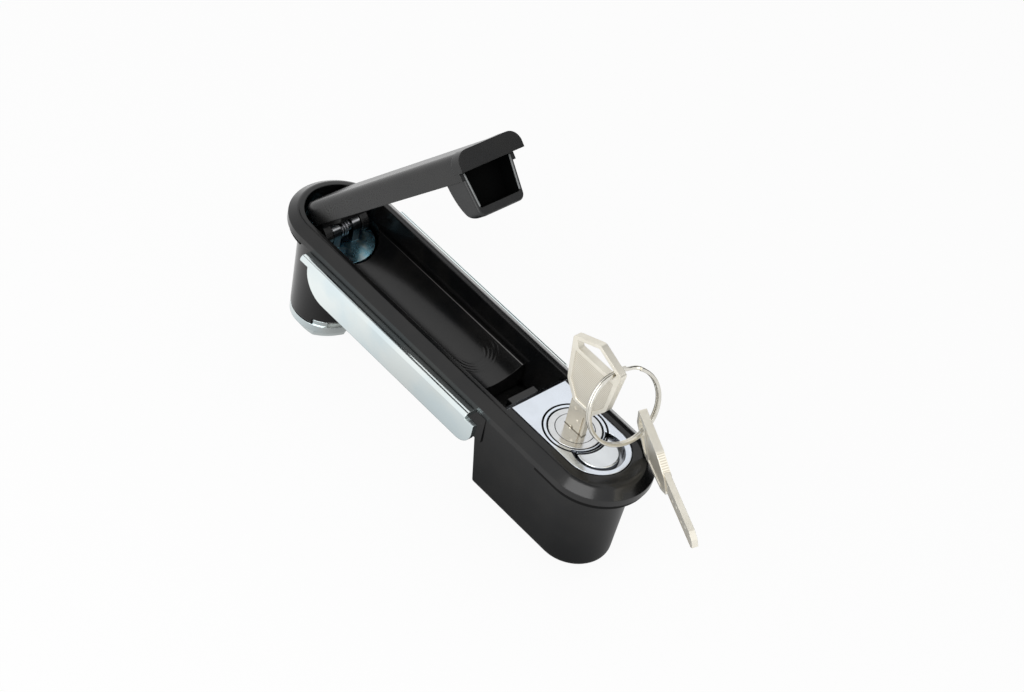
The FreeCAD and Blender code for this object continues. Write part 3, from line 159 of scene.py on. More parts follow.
class Look(Tree):
    def __init__(self, name, surface):
        self.material = bpy.data.materials.new(name)
        self.material.use_nodes = True
        super().__init__(self.material.node_tree)
        self.shader = self.nodeTree.nodes["Principled BSDF"]
        for key, value in surface.items():
            self.feed(self.shader, key, value)
        self.place = self.node("ShaderNodeTexCoord", out="Object")

    def noise(self, scale, detail, stretch=None):
        place = self.place
        if stretch:
            place = self.node("ShaderNodeMapping", None, {"Vector": place, "Scale": stretch})
        return self.node("ShaderNodeTexNoise", None, {"Vector": place, "Scale": scale, "Detail": detail})

    def along(self, axis):
        return self.node("ShaderNodeSeparateXYZ", None, {0: self.place}, out="XYZ".index(axis))

    def mix(self, share, first, second):
        at = shading["colourMix"]
        inputs = {at["share"]: share, at["first"]: first, at["second"]: second}
        return self.node("ShaderNodeMix", {"data_type": "RGBA"}, inputs, out=at["out"])

    def roundCorners(self, radius):
        settings = {"samples": shading["cornerSamples"]}
        self.corner = self.node("ShaderNodeBevel", settings, {"Radius": radius})

    def cornerShare(self):
        # 0 on faces, up to 1 where the rounded normal leans from the flat one
        flat = self.node("ShaderNodeNewGeometry", out="Normal")
        normals = {0: self.corner, 1: flat}
        same = self.node("ShaderNodeVectorMath", {"operation": "DOT_PRODUCT"}, normals, out="Value")
        return (1 - same).softStep(*shading["cornerLean"])

    def bump(self, height, strength, distance, normal=None):
        inputs = {"Height": height, "Strength": strength, "Distance": distance}
        if normal:
            inputs["Normal"] = normal
        return self.node("ShaderNodeBump", None, inputs)

    def fromPoint(self, x, y):
        # distance over X and Y
        along, aside = self.along("X") - x, self.along("Y") - y
        return (along * along + aside * aside) ** 0.5

    def fromLine(self, first, last):
        # distance over X and Y from the line between first and last on the X axis
        past = abs(self.along("X") - (first + last) / 2) - (last - first) / 2
        past = past.atLeast(0.0)
        aside = self.along("Y")
        return (past * past + aside * aside) ** 0.5

    def creviceShade(self, reach, low, high):
        # painted shade: 0 in the open, 1 down in joints and slots narrower than reach, where shade falls
        settings = {"samples": shading["creviceSamples"]}
        shut = self.node("ShaderNodeAmbientOcclusion", settings, {"Distance": reach}, out="AO")
        return (1 - shut).softStep(low, high)

    def shadeBy(self, share):
        # painted shade: gloss fades to plain black where share is 1
        deep = self.node("ShaderNodeBsdfPrincipled", None, shading["shadeBlack"])
        self.show(self.shaders(share, Wire(self, self.shader.outputs[0]), deep))

    def show(self, surface):
        self.feed(self.nodeTree.nodes["Material Output"], "Surface", surface)

    def finish(self, **surface):
        for key, value in surface.items():
            self.feed(self.shader, key.replace("_", " "), value)
        return self.material


# Camera at the photograph's angle
view = {
    "place": (0.4759, -0.5004, 0.6087),
    "right": (0.65125, 0.73565, 0.18626),
    "up": (-0.60911, 0.36035, 0.70649),
    "back": (0.45261, -0.57355, 0.68277),
    "lens": 99.32,
    "sensor": 36.0,
    "seesFrom": 0.05,
    "seesTo": 50.0,
}


def addCamera():
    data = bpy.data.cameras.new("camera")
    data.lens = view["lens"]
    data.sensor_width = view["sensor"]
    data.clip_start = view["seesFrom"]
    data.clip_end = view["seesTo"]
    camera = bpy.data.objects.new("camera", data)
    scene.collection.objects.link(camera)
    axes = Matrix((view["right"], view["up"], view["back"])).transposed()
    camera.matrix_world = Matrix.Translation(view["place"]) @ axes.to_4x4()
    scene.camera = camera


addCamera()
print("camera placed")

# Soft studio light; the object's middle is what the lamp and the cards face
studio = {
    "middle": (0.065, 0.0, 0.0),
    "white": (1.0, 1.0, 1.0),
    "worldLight": 0.55,
    "worldSeen": 1.0,
    "floorBelow": 0.0004,
    "floorSize": 3.0,
    "floor": {"Base Color": (0.9, 0.9, 0.9), "Roughness": 0.9, "Specular IOR Level": 0.0},
    "floorGlow": 0.93,  # share of plain white that the camera sees; the rest keeps the shadow
    "shadowLine": (45.0 * mm, 118.0 * mm),  # painted shadow: in reflections the floor dims towards this line under the object
    "shadowFrom": 10.0 * mm,
    "shadowTo": 80.0 * mm,
    "shadowDarkest": 0.2,
    "lamp": {"towards": (0.30, -0.78, 0.55), "far": 0.75, "size": (0.6, 0.6), "power": 3.4},
    "card": {"Base Color": (0.0, 0.0, 0.0), "Roughness": 1.0, "Specular IOR Level": 0.0},
    "flags": {  # black cards that only reflections see
        "overheadFlag": {
            "towards": (-0.40, 0.0, 0.91), "across": (0, 1, 0), "far": 0.7, "size": (1.1, 0.13),
        },
        "ceilingFlag": {
            "towards": (-0.097, 0.844, 0.528), "across": (0.651, 0.668, -0.362),
            "far": 1.4, "size": (1.5, 1.0),
        },
        "rightFlag": {
            "towards": (0.52, 0.80, 0.30), "across": (0, 0, 1), "far": 1.4, "size": (1.2, 0.9),
        },
    },
}


def addWorld():
    world = bpy.data.worlds.new("studioWorld")
    scene.world = world
    world.use_nodes = True
    world.node_tree.nodes.clear()
    sky = Tree(world.node_tree)
    camera, gloss, through = sky.rays()
    white, light, seen = studio["white"], studio["worldLight"], studio["worldSeen"]
    lit = sky.node("ShaderNodeBackground", None, {"Color": white, "Strength": light})
    shown = sky.node("ShaderNodeBackground", None, {"Color": white, "Strength": seen})
    both = sky.shaders(camera.atLeast(gloss).atLeast(through), lit, shown)
    sky.feed(sky.nodeTree.nodes.new("ShaderNodeOutputWorld"), "Surface", both)


def addLamp():
    lamp = studio["lamp"]
    data = bpy.data.lights.new("keyLamp", "AREA")
    data.shape = "RECTANGLE"
    data.size, data.size_y = lamp["size"]
    data.energy = lamp["power"]
    made = bpy.data.objects.new("keyLamp", data)
    scene.collection.objects.link(made)
    towards = Vector(lamp["towards"]).normalized()
    made.location = Vector(studio["middle"]) + towards * lamp["far"]
    made.rotation_mode = "QUATERNION"
    made.rotation_quaternion = towards.to_track_quat("Z", "Y")


def addCard(name, corners, material):
    mesh = bpy.data.meshes.new(name)
    mesh.from_pydata(corners, [], [(0, 1, 2, 3)])
    mesh.materials.append(material)
    card = bpy.data.objects.new(name, mesh)
    scene.collection.objects.link(card)
    return card


def floorLook():
    look = Look("paleFloor", studio["floor"])
    camera, gloss, through = look.rays()
    seen = camera.atLeast(through) * studio["floorGlow"] + gloss
    # painted shadow of the object on the floor, seen only in reflections
    away = look.fromLine(*studio["shadowLine"])
    shadowDarkest = studio["shadowDarkest"]
    light = shadowDarkest + (1 - shadowDarkest) * away.softStep(studio["shadowFrom"], studio["shadowTo"])
    strength = 1 - gloss * (1 - light)
    glow = look.node("ShaderNodeEmission", None, {"Color": studio["white"], "Strength": strength})
    look.show(look.shaders(seen, Wire(look, look.shader.outputs[0]), glow))
    return look.material


def addFloor():
    size = studio["floorSize"]
    level = cadLow.z - studio["floorBelow"]
    corners = [(-size, -size, level), (size, -size, level), (size, size, level), (-size, size, level)]
    floor = addCard("floor", corners, floorLook())


def addFlags():
    black = Look("blackCard", studio["card"]).material
    for name, flag in studio["flags"].items():
        towards = Vector(flag["towards"]).normalized()
        across = Vector(flag["across"])
        across = (across - towards * across.dot(towards)).normalized()
        along = across.cross(towards)
        middle = Vector(studio["middle"]) + towards * flag["far"]
        length, width = flag["size"]
        reach, half = along * (length / 2), across * (width / 2)
        corners = [middle - reach - half, middle + reach - half, middle + reach + half, middle - reach + half]
        card = addCard(name, corners, black)
        card.visible_camera = False
        card.visible_diffuse = False
        card.visible_shadow = False


addWorld()
addLamp()
addFloor()
addFlags()
print("world, lamp, floor and cards made")

# Finishes: a noise is (scale, detail, stretch), a step is (start, full), a bump is (strength, distance)
blackCoat = {
    "base": (0.0035, 0.0038, 0.0042),
    "pale": (0.0075, 0.0073, 0.007),
    # corners paler with wear, and with a painted highlight along the edges
    "wornSheen": (0.05, 0.048, 0.045),
    "wornSheenShare": 0.7,
    "ior": 1.46,
    "rough": 0.19,
    "handleRougher": 0.08,
    "boltSmoother": 0.06,
    "cloud": (95.0, 5.0),
    "cloudStep": (0.35, 0.7),
    "cloudSpread": 0.07,
    "grain": (2600.0, 2.0),
    "grainSpread": 0.12,
    "grainBump": (0.35, 0.02 * mm),
    "wearAndSheen": (420.0, 4.0),
    "wearAndSheenStep": (0.42, 0.7),
    "corner": 0.32 * mm,
    "joint": (2.4 * mm, 0.3, 0.55),  # reach of the painted shade in joints, and where it starts and is full
    "rimLine": (0.0, 124.5 * mm),  # middle line of the flange
    "rimInner": 13.2 * mm,
    "rimSlope": 0.11,  # the flange's flat rim falls off slightly, which shows in its reflections
    "ledgeGlint": {  # painted highlight along the line where the tray's dish meets its ledges, brighter towards the lock
        "aside": 11.5 * mm,
        "width": (0.05 * mm, 0.27 * mm),
        "height": (-4.1 * mm, -3.4 * mm),
        "along": (0.0, 95.0 * mm),
        "end": 78.0 * mm,
        "tone": (0.26, 0.255, 0.25),
    },
    "rings": {  # shallow rings pressed in the end of the tray's floor
        "centre": (63.4 * mm, 3.0 * mm),
        "radius": (3.9 * mm, 8.5 * mm),
        "pitch": 1.2 * mm,
        "depth": 0.024 * mm,
        "below": -4.2 * mm,
        "fade": (63.0 * mm, 66.5 * mm),
    },
}


def ledgeGlintShare(look):
    # 1 on the painted highlight line, 0 off it
    ledgeGlint = blackCoat["ledgeGlint"]
    height, along = look.along("Z"), look.along("X")
    low, high = ledgeGlint["height"]
    line = 1 - abs(abs(look.along("Y")) - ledgeGlint["aside"]).softStep(*ledgeGlint["width"])
    inside = (height > low) * (height < high) * (along < ledgeGlint["end"])
    return line * inside * along.softStep(*ledgeGlint["along"])


def ringHeight(look):
    rings = blackCoat["rings"]
    radius = look.fromPoint(*rings["centre"])
    inner, outer = rings["radius"]
    wave = (radius * (2.0 * math.pi / rings["pitch"])).sine()
    inside = (radius > inner) * (radius < outer) * (look.along("Z") < rings["below"])
    return wave * inside * look.along("X").softStep(*rings["fade"]) * rings["depth"]


def blackCoatLook(name, rough, housing=False):
    look = Look(name, {"IOR": blackCoat["ior"]})
    look.roundCorners(blackCoat["corner"])
    face = look.corner
    # painted shade down in joints and slots
    dark = look.creviceShade(*blackCoat["joint"])
    cloud = look.noise(*blackCoat["cloud"])
    grain = look.noise(*blackCoat["grain"])
    # paler corners: real wear, and a painted highlight along the edges
    wearAndSheen = look.cornerShare() * look.noise(*blackCoat["wearAndSheen"]).softStep(*blackCoat["wearAndSheenStep"])
    tone = look.mix(cloud.softStep(*blackCoat["cloudStep"]), blackCoat["base"], blackCoat["pale"])
    tone = look.mix(wearAndSheen * blackCoat["wornSheenShare"], tone, blackCoat["wornSheen"])
    if housing:
        away = look.fromLine(*blackCoat["rimLine"]) - blackCoat["rimInner"]
        fall = away.atLeast(0.0) * -blackCoat["rimSlope"]
        face = look.bump(fall + ringHeight(look), 1.0, 1.0, face)  # heights in metres, as they are
        # painted highlight on the ledge line, which also lifts the painted shade there
        glint = ledgeGlintShare(look)
        dark = dark * (1 - glint)
        tone = look.mix(glint, tone, blackCoat["ledgeGlint"]["tone"])
    look.shadeBy(dark)
    roughness = rough + blackCoat["cloudSpread"] * (cloud - 0.5) + blackCoat["grainSpread"] * (grain - 0.5)
    normal = look.bump(grain, *blackCoat["grainBump"], face)
    return look.finish(Base_Color=tone, Roughness=roughness, Normal=normal)


plastic = {
    "hood": {"base": (0.007, 0.0075, 0.008), "pale": (0.012, 0.0125, 0.013), "rough": 0.42},
    "cover": {"base": (0.012, 0.012, 0.013), "pale": (0.018, 0.018, 0.019), "rough": 0.45},
    "bearing": {"base": (0.68, 0.68, 0.66), "pale": (0.74, 0.74, 0.72), "rough": 0.45},
    # pale bead plastic: a painted highlight along the hood's mouth
    "bead": {"base": (0.17, 0.18, 0.18), "pale": (0.22, 0.23, 0.23), "rough": 0.28},
    "specular": 0.5,
    "corner": 0.2 * mm,
    # painted shade in joints: reach, and where it starts and is full
    "joint": (0.9 * mm, 0.35, 0.7),
    "grain": (3800.0, 2.0),
    "grainSpread": 0.15,
    "grainBump": (0.5, 0.04 * mm),
    "flow": (60.0, 4.0, (1.0, 3.0, 1.0)),
    "flowStep": (0.3, 0.75),
}


def plasticLook(name, kind):
    shade = plastic[kind]
    look = Look(name, {"Specular IOR Level": plastic["specular"]})
    look.roundCorners(plastic["corner"])
    # painted shade down in joints and slots
    look.shadeBy(look.creviceShade(*plastic["joint"]))
    grain = look.noise(*plastic["grain"])
    flow = look.noise(*plastic["flow"]).softStep(*plastic["flowStep"])
    tone = look.mix(flow, shade["base"], shade["pale"])
    roughness = shade["rough"] + plastic["grainSpread"] * (grain - 0.5)
    normal = look.bump(grain, *plastic["grainBump"], look.corner)
    return look.finish(Base_Color=tone, Roughness=roughness, Normal=normal)


plated = {
    "block": {"base": (0.75, 0.80, 0.87), "dull": (0.66, 0.70, 0.76), "rough": 0.16},
    "cylinder": {"base": (0.72, 0.73, 0.74), "dull": (0.60, 0.61, 0.62), "rough": 0.18},
    "button": {"base": (0.76, 0.79, 0.81), "dull": (0.68, 0.70, 0.73), "rough": 0.2},
    "corner": 0.3 * mm,
    "cornerDull": 0.1,
    "haze": (140.0, 5.0),
    "hazeStep": (0.3, 0.8),
    "hazeDull": 0.5,
    "hazeSpread": 0.08,
    "turning": {"Scale": 2600.0, "Detail": 3.0},
    "brushing": (900.0, 3.0, (0.06, 1.0, 0.4)),
    "lineSpread": 0.08,
    "lineBump": (0.08, 0.02 * mm),
    "centre": (113.0 * mm, 0.0),  # axis of the key cylinder
    # painted shade: dark lines along the block's two grooves and round the plug
    "rings": [(10.22 * mm, 0.34 * mm), (8.74 * mm, 0.26 * mm), (6.33 * mm, 0.1 * mm)],  # radius, half width
    # colour of the painted shade in slots and along the grooves
    "dark": (0.02, 0.02, 0.022),
    "pocket": (0.36, 0.37, 0.39),  # painted shade down in the pocket round the button
    "pocketFrom": 110.0 * mm,
    "pocketTop": 4.1 * mm,
    # painted shade in slots: reach, and where it starts and is full
    "slot": (2.0 * mm, 0.45, 0.85),
}


def platedLook(name, kind, turned=False):
    shade = plated[kind]
    look = Look(name, {"Metallic": 1.0})
    look.roundCorners(plated["corner"])
    haze = look.noise(*plated["haze"])
    radius = look.fromPoint(*plated["centre"])
    if turned:
        turning = {"W": radius, **plated["turning"]}
        lines = look.node("ShaderNodeTexNoise", {"noise_dimensions": "1D"}, turning)
    else:
        lines = look.noise(*plated["brushing"])
    dull = haze.softStep(*plated["hazeStep"]) * plated["hazeDull"] + look.cornerShare() * plated["cornerDull"]
    tone = look.mix(dull, shade["base"], shade["dull"])
    # painted shade below the pocket's top, near the button
    pocket = (look.along("Z") < plated["pocketTop"]) * (look.along("X") > plated["pocketFrom"])
    tone = look.mix(pocket, tone, plated["pocket"])
    # painted shade down in slots
    tone = look.mix(look.creviceShade(*plated["slot"]), tone, plated["dark"])
    # painted shade along the grooves and round the plug
    for at, half in plated["rings"]:
        tone = look.mix(abs(radius - at) < half, tone, plated["dark"])
    roughness = shade["rough"] + plated["hazeSpread"] * (haze - 0.5) + plated["lineSpread"] * (lines - 0.5)
    normal = look.bump(lines, *plated["lineBump"], look.corner)
    return look.finish(Base_Color=tone, Roughness=roughness, Normal=normal)


zinc = {
    "base": (0.84, 0.90, 0.89),
    "blue": (0.70, 0.82, 0.86),
    "warm": (0.84, 0.84, 0.77),
    "rough": 0.08,
    "hardwareRougher": 0.08,
    "corner": 0.3 * mm,
    "cornerSmoother": 0.08,
    "patch": (55.0, 4.0),
    "patchStep": (0.35, 0.65),
    "patchBlue": 0.7,
    "patchSpread": 0.14,
    "warmth": (38.0, 3.0),
    "warmStep": (0.5, 0.8),
    "warmShare": 0.5,
    "spangle": 520.0,
    "spangleSpread": 0.04,
    "spangleHeight": 0.1,
    "rolled": (1500.0, 3.0, (0.05, 1.0, 1.0)),
    "rolledBump": (0.12, 0.02 * mm),
}


def zincLook(name, rough):
    look = Look(name, {"Metallic": 1.0})
    look.roundCorners(zinc["corner"])
    patch = look.noise(*zinc["patch"])
    cells = {"Vector": look.place, "Scale": zinc["spangle"]}
    spangle = look.node("ShaderNodeTexVoronoi", None, cells, out="Distance")
    rolled = look.noise(*zinc["rolled"])
    warmth = look.noise(*zinc["warmth"]).softStep(*zinc["warmStep"])
    tone = look.mix(patch.softStep(*zinc["patchStep"]) * zinc["patchBlue"], zinc["base"], zinc["blue"])
    tone = look.mix(warmth * zinc["warmShare"], tone, zinc["warm"])
    roughness = rough + zinc["patchSpread"] * (patch - 0.5) + zinc["spangleSpread"] * spangle
    roughness = roughness - zinc["cornerSmoother"] * look.cornerShare()
    normal = look.bump(rolled + zinc["spangleHeight"] * spangle, *zinc["rolledBump"], look.corner)
    return look.finish(Base_Color=tone, Roughness=roughness, Normal=normal)


steel = {
    "blue": (0.30, 0.62, 0.76),
    "pale": (0.70, 0.90, 0.95),
    "ear": (0.035, 0.038, 0.042),  # painted shade on the sides of the fork's ears
    "topHighlight": (0.75, 0.76, 0.78),  # painted highlight along the tops
    # hinge pin: grey steel, kept out of the ears' painted shade and brightened for a painted highlight
    "pin": (0.30, 0.31, 0.32),
    "pinHeight": -2.1 * mm,
    "pinRadius": 1.95 * mm,
    "earFoot": -6.95 * mm,
    "earTop": (0.2 * mm, 0.7 * mm),
    "rough": 0.28,
    "corner": 0.2 * mm,
    "film": (300.0, 5.0),
    "filmStep": (0.45, 0.7),
    "filmSpread": 0.15,
    "drawn": (1800.0, 2.0, (1.0, 1.0, 0.08)),
    "drawnBump": (0.15, 0.03 * mm),
}


def blueSteelLook(name):
    look = Look(name, {"Metallic": 1.0})
    look.roundCorners(steel["corner"])
    film = look.noise(*steel["film"])
    height, ahead = look.along("Z"), look.along("X")
    rise = height - steel["pinHeight"]
    tone = look.mix(film.softStep(*steel["filmStep"]), steel["blue"], steel["pale"])
    # painted shade over the ears' sides
    tone = look.mix(height > steel["earFoot"], tone, steel["ear"])
    # hinge pin, grey steel with a painted highlight
    tone = look.mix((rise * rise + ahead * ahead) ** 0.5 < steel["pinRadius"], tone, steel["pin"])
    # painted highlight on the tops
    tone = look.mix(height.softStep(*steel["earTop"]), tone, steel["topHighlight"])
    roughness = steel["rough"] + steel["filmSpread"] * (film - 0.5)
    normal = look.bump(look.noise(*steel["drawn"]), *steel["drawnBump"], look.corner)
    return look.finish(Base_Color=tone, Roughness=roughness, Normal=normal)


plainMetal = {
    "spring": {"base": (0.24, 0.24, 0.26), "dull": (0.14, 0.14, 0.15), "rough": 0.35},
    "brass": {"base": (0.78, 0.62, 0.33), "dull": (0.6, 0.45, 0.22), "rough": 0.3},
    "ring": {"base": (0.76, 0.74, 0.68), "dull": (0.62, 0.60, 0.54), "rough": 0.18},
    "corner": 0.15 * mm,
    "haze": (300.0, 4.0),
    "hazeStep": (0.3, 0.75),
    "hazeSpread": 0.12,
    "drawn": (2200.0, 2.0, (1.0, 0.2, 1.0)),
    "drawnBump": (0.12, 0.02 * mm),
}


def plainMetalLook(name, kind):
    shade = plainMetal[kind]
    look = Look(name, {"Metallic": 1.0})
    look.roundCorners(plainMetal["corner"])
    haze = look.noise(*plainMetal["haze"])
    tone = look.mix(haze.softStep(*plainMetal["hazeStep"]), shade["base"], shade["dull"])
    roughness = shade["rough"] + plainMetal["hazeSpread"] * (haze - 0.5)
    normal = look.bump(look.noise(*plainMetal["drawn"]), *plainMetal["drawnBump"], look.corner)
    return look.finish(Base_Color=tone, Roughness=roughness, Normal=normal)


# The keys' nickel, in a key's own frame: X along it, Z through it
keyNickel = {
    "base": (0.88, 0.845, 0.745),
    "dull": (0.76, 0.715, 0.605),
    # painted shade in the valleys of the key's pressed lines
    "groove": (0.44, 0.39, 0.30),
    "grooveShare": 0.7,
    # painted shade on the blade: its darker colour, at half share on the key and none on the spare
    "blade": (0.40, 0.34, 0.24),
    "bladeShadeShare": {"key": 0.5, "spare_key": 0.0},
    "bladeFrom": 26.6 * mm,
    "metal": 0.55,
    "rough": 0.32,
    "bladeSmoother": 0.08,
    "cornerRound": 0.12 * mm,
    "cornerSmoother": 0.04,
    # painted shade in the keys' crannies: reach, and where it starts and is full
    "crannyShade": (0.8 * mm, 0.18, 0.55),
    "haze": (120.0, 3.0),
    "hazeStep": (0.3, 0.75),
    "hazeDull": 0.5,
    "hazeSpread": 0.08,
    "scratch": (1600.0, 2.0, (0.1, 1.0, 1.0)),
    "scratchHeight": 0.12,
    "lineHeight": 0.5,
    "linePitch": 0.62 * mm,
    "lined": (8.7 * mm, 25.8 * mm),
    "linedMiddle": 1.3 * mm,
    "linedHalf": 8.6 * mm,
    "panelLevel": 1.05 * mm,  # the lined panels lie below this, off the key's middle plane
    "bump": (0.4, 0.05 * mm),
}


def keyLook(name, key):
    look = Look(name, {"Metallic": keyNickel["metal"]})
    look.roundCorners(keyNickel["cornerRound"])
    haze = look.noise(*keyNickel["haze"])
    along = look.along("X")
    start, end = keyNickel["lined"]
    panel = (along > start) * (along < end)
    panel = panel * (abs(look.along("Y") - keyNickel["linedMiddle"]) < keyNickel["linedHalf"])
    panel = panel * (abs(look.along("Z")) < keyNickel["panelLevel"])
    ridge = 0.5 + 0.5 * (along * (2.0 * math.pi / keyNickel["linePitch"])).sine()
    blade = along > keyNickel["bladeFrom"]
    dull = haze.softStep(*keyNickel["hazeStep"]) * keyNickel["hazeDull"]
    tone = look.mix(dull, keyNickel["base"], keyNickel["dull"])
    # painted shade on the blade, for the key only
    tone = look.mix(blade * keyNickel["bladeShadeShare"][key], tone, keyNickel["blade"])
    # painted shade in the valleys between the pressed lines
    tone = look.mix(panel * (1 - ridge) * keyNickel["grooveShare"], tone, keyNickel["groove"])
    # painted shade down in crannies, in the blade's colour
    tone = look.mix(look.creviceShade(*keyNickel["crannyShade"]), tone, keyNickel["blade"])
    scratches = keyNickel["scratchHeight"] * look.noise(*keyNickel["scratch"])
    normal = look.bump(scratches + ridge * panel * keyNickel["lineHeight"], *keyNickel["bump"], look.corner)
    roughness = keyNickel["rough"] - blade * keyNickel["bladeSmoother"]
    roughness = roughness + keyNickel["hazeSpread"] * (haze - 0.5)
    roughness = roughness - keyNickel["cornerSmoother"] * look.cornerShare()
    return look.finish(Base_Color=tone, Roughness=roughness, Normal=normal)


rubber = {
    "base": (0.002, 0.002, 0.002),
    "pale": (0.006, 0.006, 0.006),
    "specular": 0.1,
    "rough": 0.55,
    "grain": (2400.0, 2.0),
    "grainSpread": 0.2,
    "grainBump": (0.3, 0.03 * mm),
}


def rubberLook(name):
    look = Look(name, {"Specular IOR Level": rubber["specular"]})
    grain = look.noise(*rubber["grain"])
    tone = look.mix(grain, rubber["base"], rubber["pale"])
    roughness = rubber["rough"] + rubber["grainSpread"] * (grain - 0.5)
    return look.finish(Base_Color=tone, Roughness=roughness, Normal=look.bump(grain, *rubber["grainBump"]))


finishes = {
    "black_housing": blackCoatLook("housingCoat", blackCoat["rough"], housing=True),
    "black_handle": blackCoatLook("handleCoat", blackCoat["rough"] + blackCoat["handleRougher"]),
    "dark_hood": plasticLook("hoodPlastic", "hood"),
    "dark_cover": plasticLook("coverPlastic", "cover"),
    "bright_block": platedLook("blockPlating", "block"),
    "bright_cylinder": platedLook("cylinderPlating", "cylinder", turned=True),
    "bright_button": platedLook("buttonPlating", "button"),
    "zinc_bracket": zincLook("bracketZinc", zinc["rough"]),
    "zinc_hardware": zincLook("hardwareZinc", zinc["rough"] + zinc["hardwareRougher"]),
    "spindle_steel": blueSteelLook("spindleSteel"),
    "dark_bolt": blackCoatLook("boltOxide", blackCoat["rough"] - blackCoat["boltSmoother"]),
    "spring_steel": plainMetalLook("springWire", "spring"),
    "bearing_plastic": plasticLook("bearingPlastic", "bearing"),
    "seal_rubber": rubberLook("sealRubber"),
    "brass_works": plainMetalLook("brass", "brass"),
    "nickel_key": keyLook("keyNickel", "key"),
    "nickel_ring": plainMetalLook("ringNickel", "ring"),
}

for part in frame["record"]["subparts"]:
    mesh = nodes[part["node"]].data
    mesh.materials.clear()
    mesh.materials.append(finishes[part["material_slot"]])
print("finishes made:", len(finishes))


# Mesh helpers
def addMesh(name, mesh, body, material, place=None):
    piece = bpy.data.objects.new(name, mesh)
    scene.collection.objects.link(piece)
    mesh.materials.append(material)
    if place:
        piece.matrix_world = place
    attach(piece, body)
    return piece


def smoothed(mesh, angle=40.0):
    mesh.shade_smooth()
    mesh.set_sharp_from_angle(angle=math.radians(angle))
    return mesh


def meshOf(name, build):
    bmesh.ops.recalc_face_normals(build, faces=build.faces)
    mesh = bpy.data.meshes.new(name)
    build.to_mesh(mesh)
    build.free()
    return mesh


def roundedOutline(corners, radius, steps=5):
    # each corner of the outline becomes a short arc, set back by radius along both its sides
    points = []
    for number, corner in enumerate(corners):
        corner = Vector(corner)
        before = Vector(corners[number - 1]) - corner
        after = Vector(corners[(number + 1) % len(corners)]) - corner
        start, end = corner + before.normalized() * radius, corner + after.normalized() * radius
        for part in range(steps + 1):
            share = part / steps
            points.append(start * (1 - share) ** 2 + corner * 2 * share * (1 - share) + end * share ** 2)
    return points


def prism(name, outline, low, high, lowShare=1.0):
    # outline in mm, extruded from low to high; lowShare shrinks the low end about the outline's middle
    build = bmesh.new()
    middle = sum((Vector(point) for point in outline), Vector((0, 0))) / len(outline)
    ends = []
    for level, share in ((low, lowShare), (high, 1.0)):
        flat = [middle + (Vector(point) - middle) * share for point in outline]
        ends.append([build.verts.new((x * mm, y * mm, level * mm)) for x, y in flat])
    build.faces.new(ends[0])
    build.faces.new(ends[1])
    for number in range(len(outline)):
        after = (number + 1) % len(outline)
        build.faces.new((ends[0][number], ends[0][after], ends[1][after], ends[1][number]))
    return meshOf(name, build)


def turned(name, profile, steps, middle=(0.0, 0.0)):
    # profile of (radius, height) in mm, from the axis back to the axis
    build = bmesh.new()
    turns = [2 * math.pi * number / steps for number in range(steps)]
    x, y = middle
    rows = []
    for radius, height in profile:
        if radius == 0:
            circle = [(x, y)]
        else:
            circle = [(x + radius * math.cos(turn), y + radius * math.sin(turn)) for turn in turns]
        rows.append([build.verts.new((across * mm, aside * mm, height * mm)) for across, aside in circle])
    for first, second in zip(rows, rows[1:]):
        for number in range(steps):
            after = (number + 1) % steps
            corners = [first[number % len(first)], first[after % len(first)]]
            corners += [second[after % len(second)], second[number % len(second)]]
            build.faces.new(list(dict.fromkeys(corners)))
    return meshOf(name, build)


def carved(name, mesh, steps):
    # steps of (UNION, DIFFERENCE or INTERSECT, other mesh), made with boolean modifiers
    piece = bpy.data.objects.new(name, mesh)
    scene.collection.objects.link(piece)
    tools = []
    for operation, other in steps:
        tool = bpy.data.objects.new(name + "Tool", other)
        scene.collection.objects.link(tool)
        change = piece.modifiers.new(operation, "BOOLEAN")
        change.operation = operation
        change.solver = "EXACT"
        change.object = tool
        tools.append(tool)
    graph = bpy.context.evaluated_depsgraph_get()
    made = bpy.data.meshes.new_from_object(piece.evaluated_get(graph), depsgraph=graph)
    made.name = name
    for used in [piece] + tools:
        bpy.data.objects.remove(used)
    return made


overcut = 1.0  # mm that a cutting shape runs past the surface it cuts

# Split ring of two turns of flat strip, with the step where it passes from one turn to the other
ring = {
    "centre": Vector((126.2, 2.4, 25.2)) * mm,
    "normal": Vector((0.91, -0.19, 0.36)).normalized(),
    "radius": 12.5 * mm,
    "strip": 1.2 * mm,
    "turnWidth": 0.86 * mm,
    "spread": 0.46 * mm,
    "round": 0.28 * mm,
    "roundSteps": 4,
    "turns": 2,
    "stepAt": 345.0,
    "stepHalf": 12.0,
    "stepsPerTurn": 120,
}


def ringSection():
    # rounded rectangle: radial by along the axis
    half = (ring["strip"] / 2, ring["turnWidth"] / 2)
    corner, steps = ring["round"], ring["roundSteps"]
    points = []
    for number, (a, b) in enumerate(((1, 1), (-1, 1), (-1, -1), (1, -1))):
        middle = (a * (half[0] - corner), b * (half[1] - corner))
        for part in range(steps + 1):
            turn = math.radians(90 * number + 90 / steps * part)
            points.append((middle[0] + corner * math.cos(turn), middle[1] + corner * math.sin(turn)))
    return points


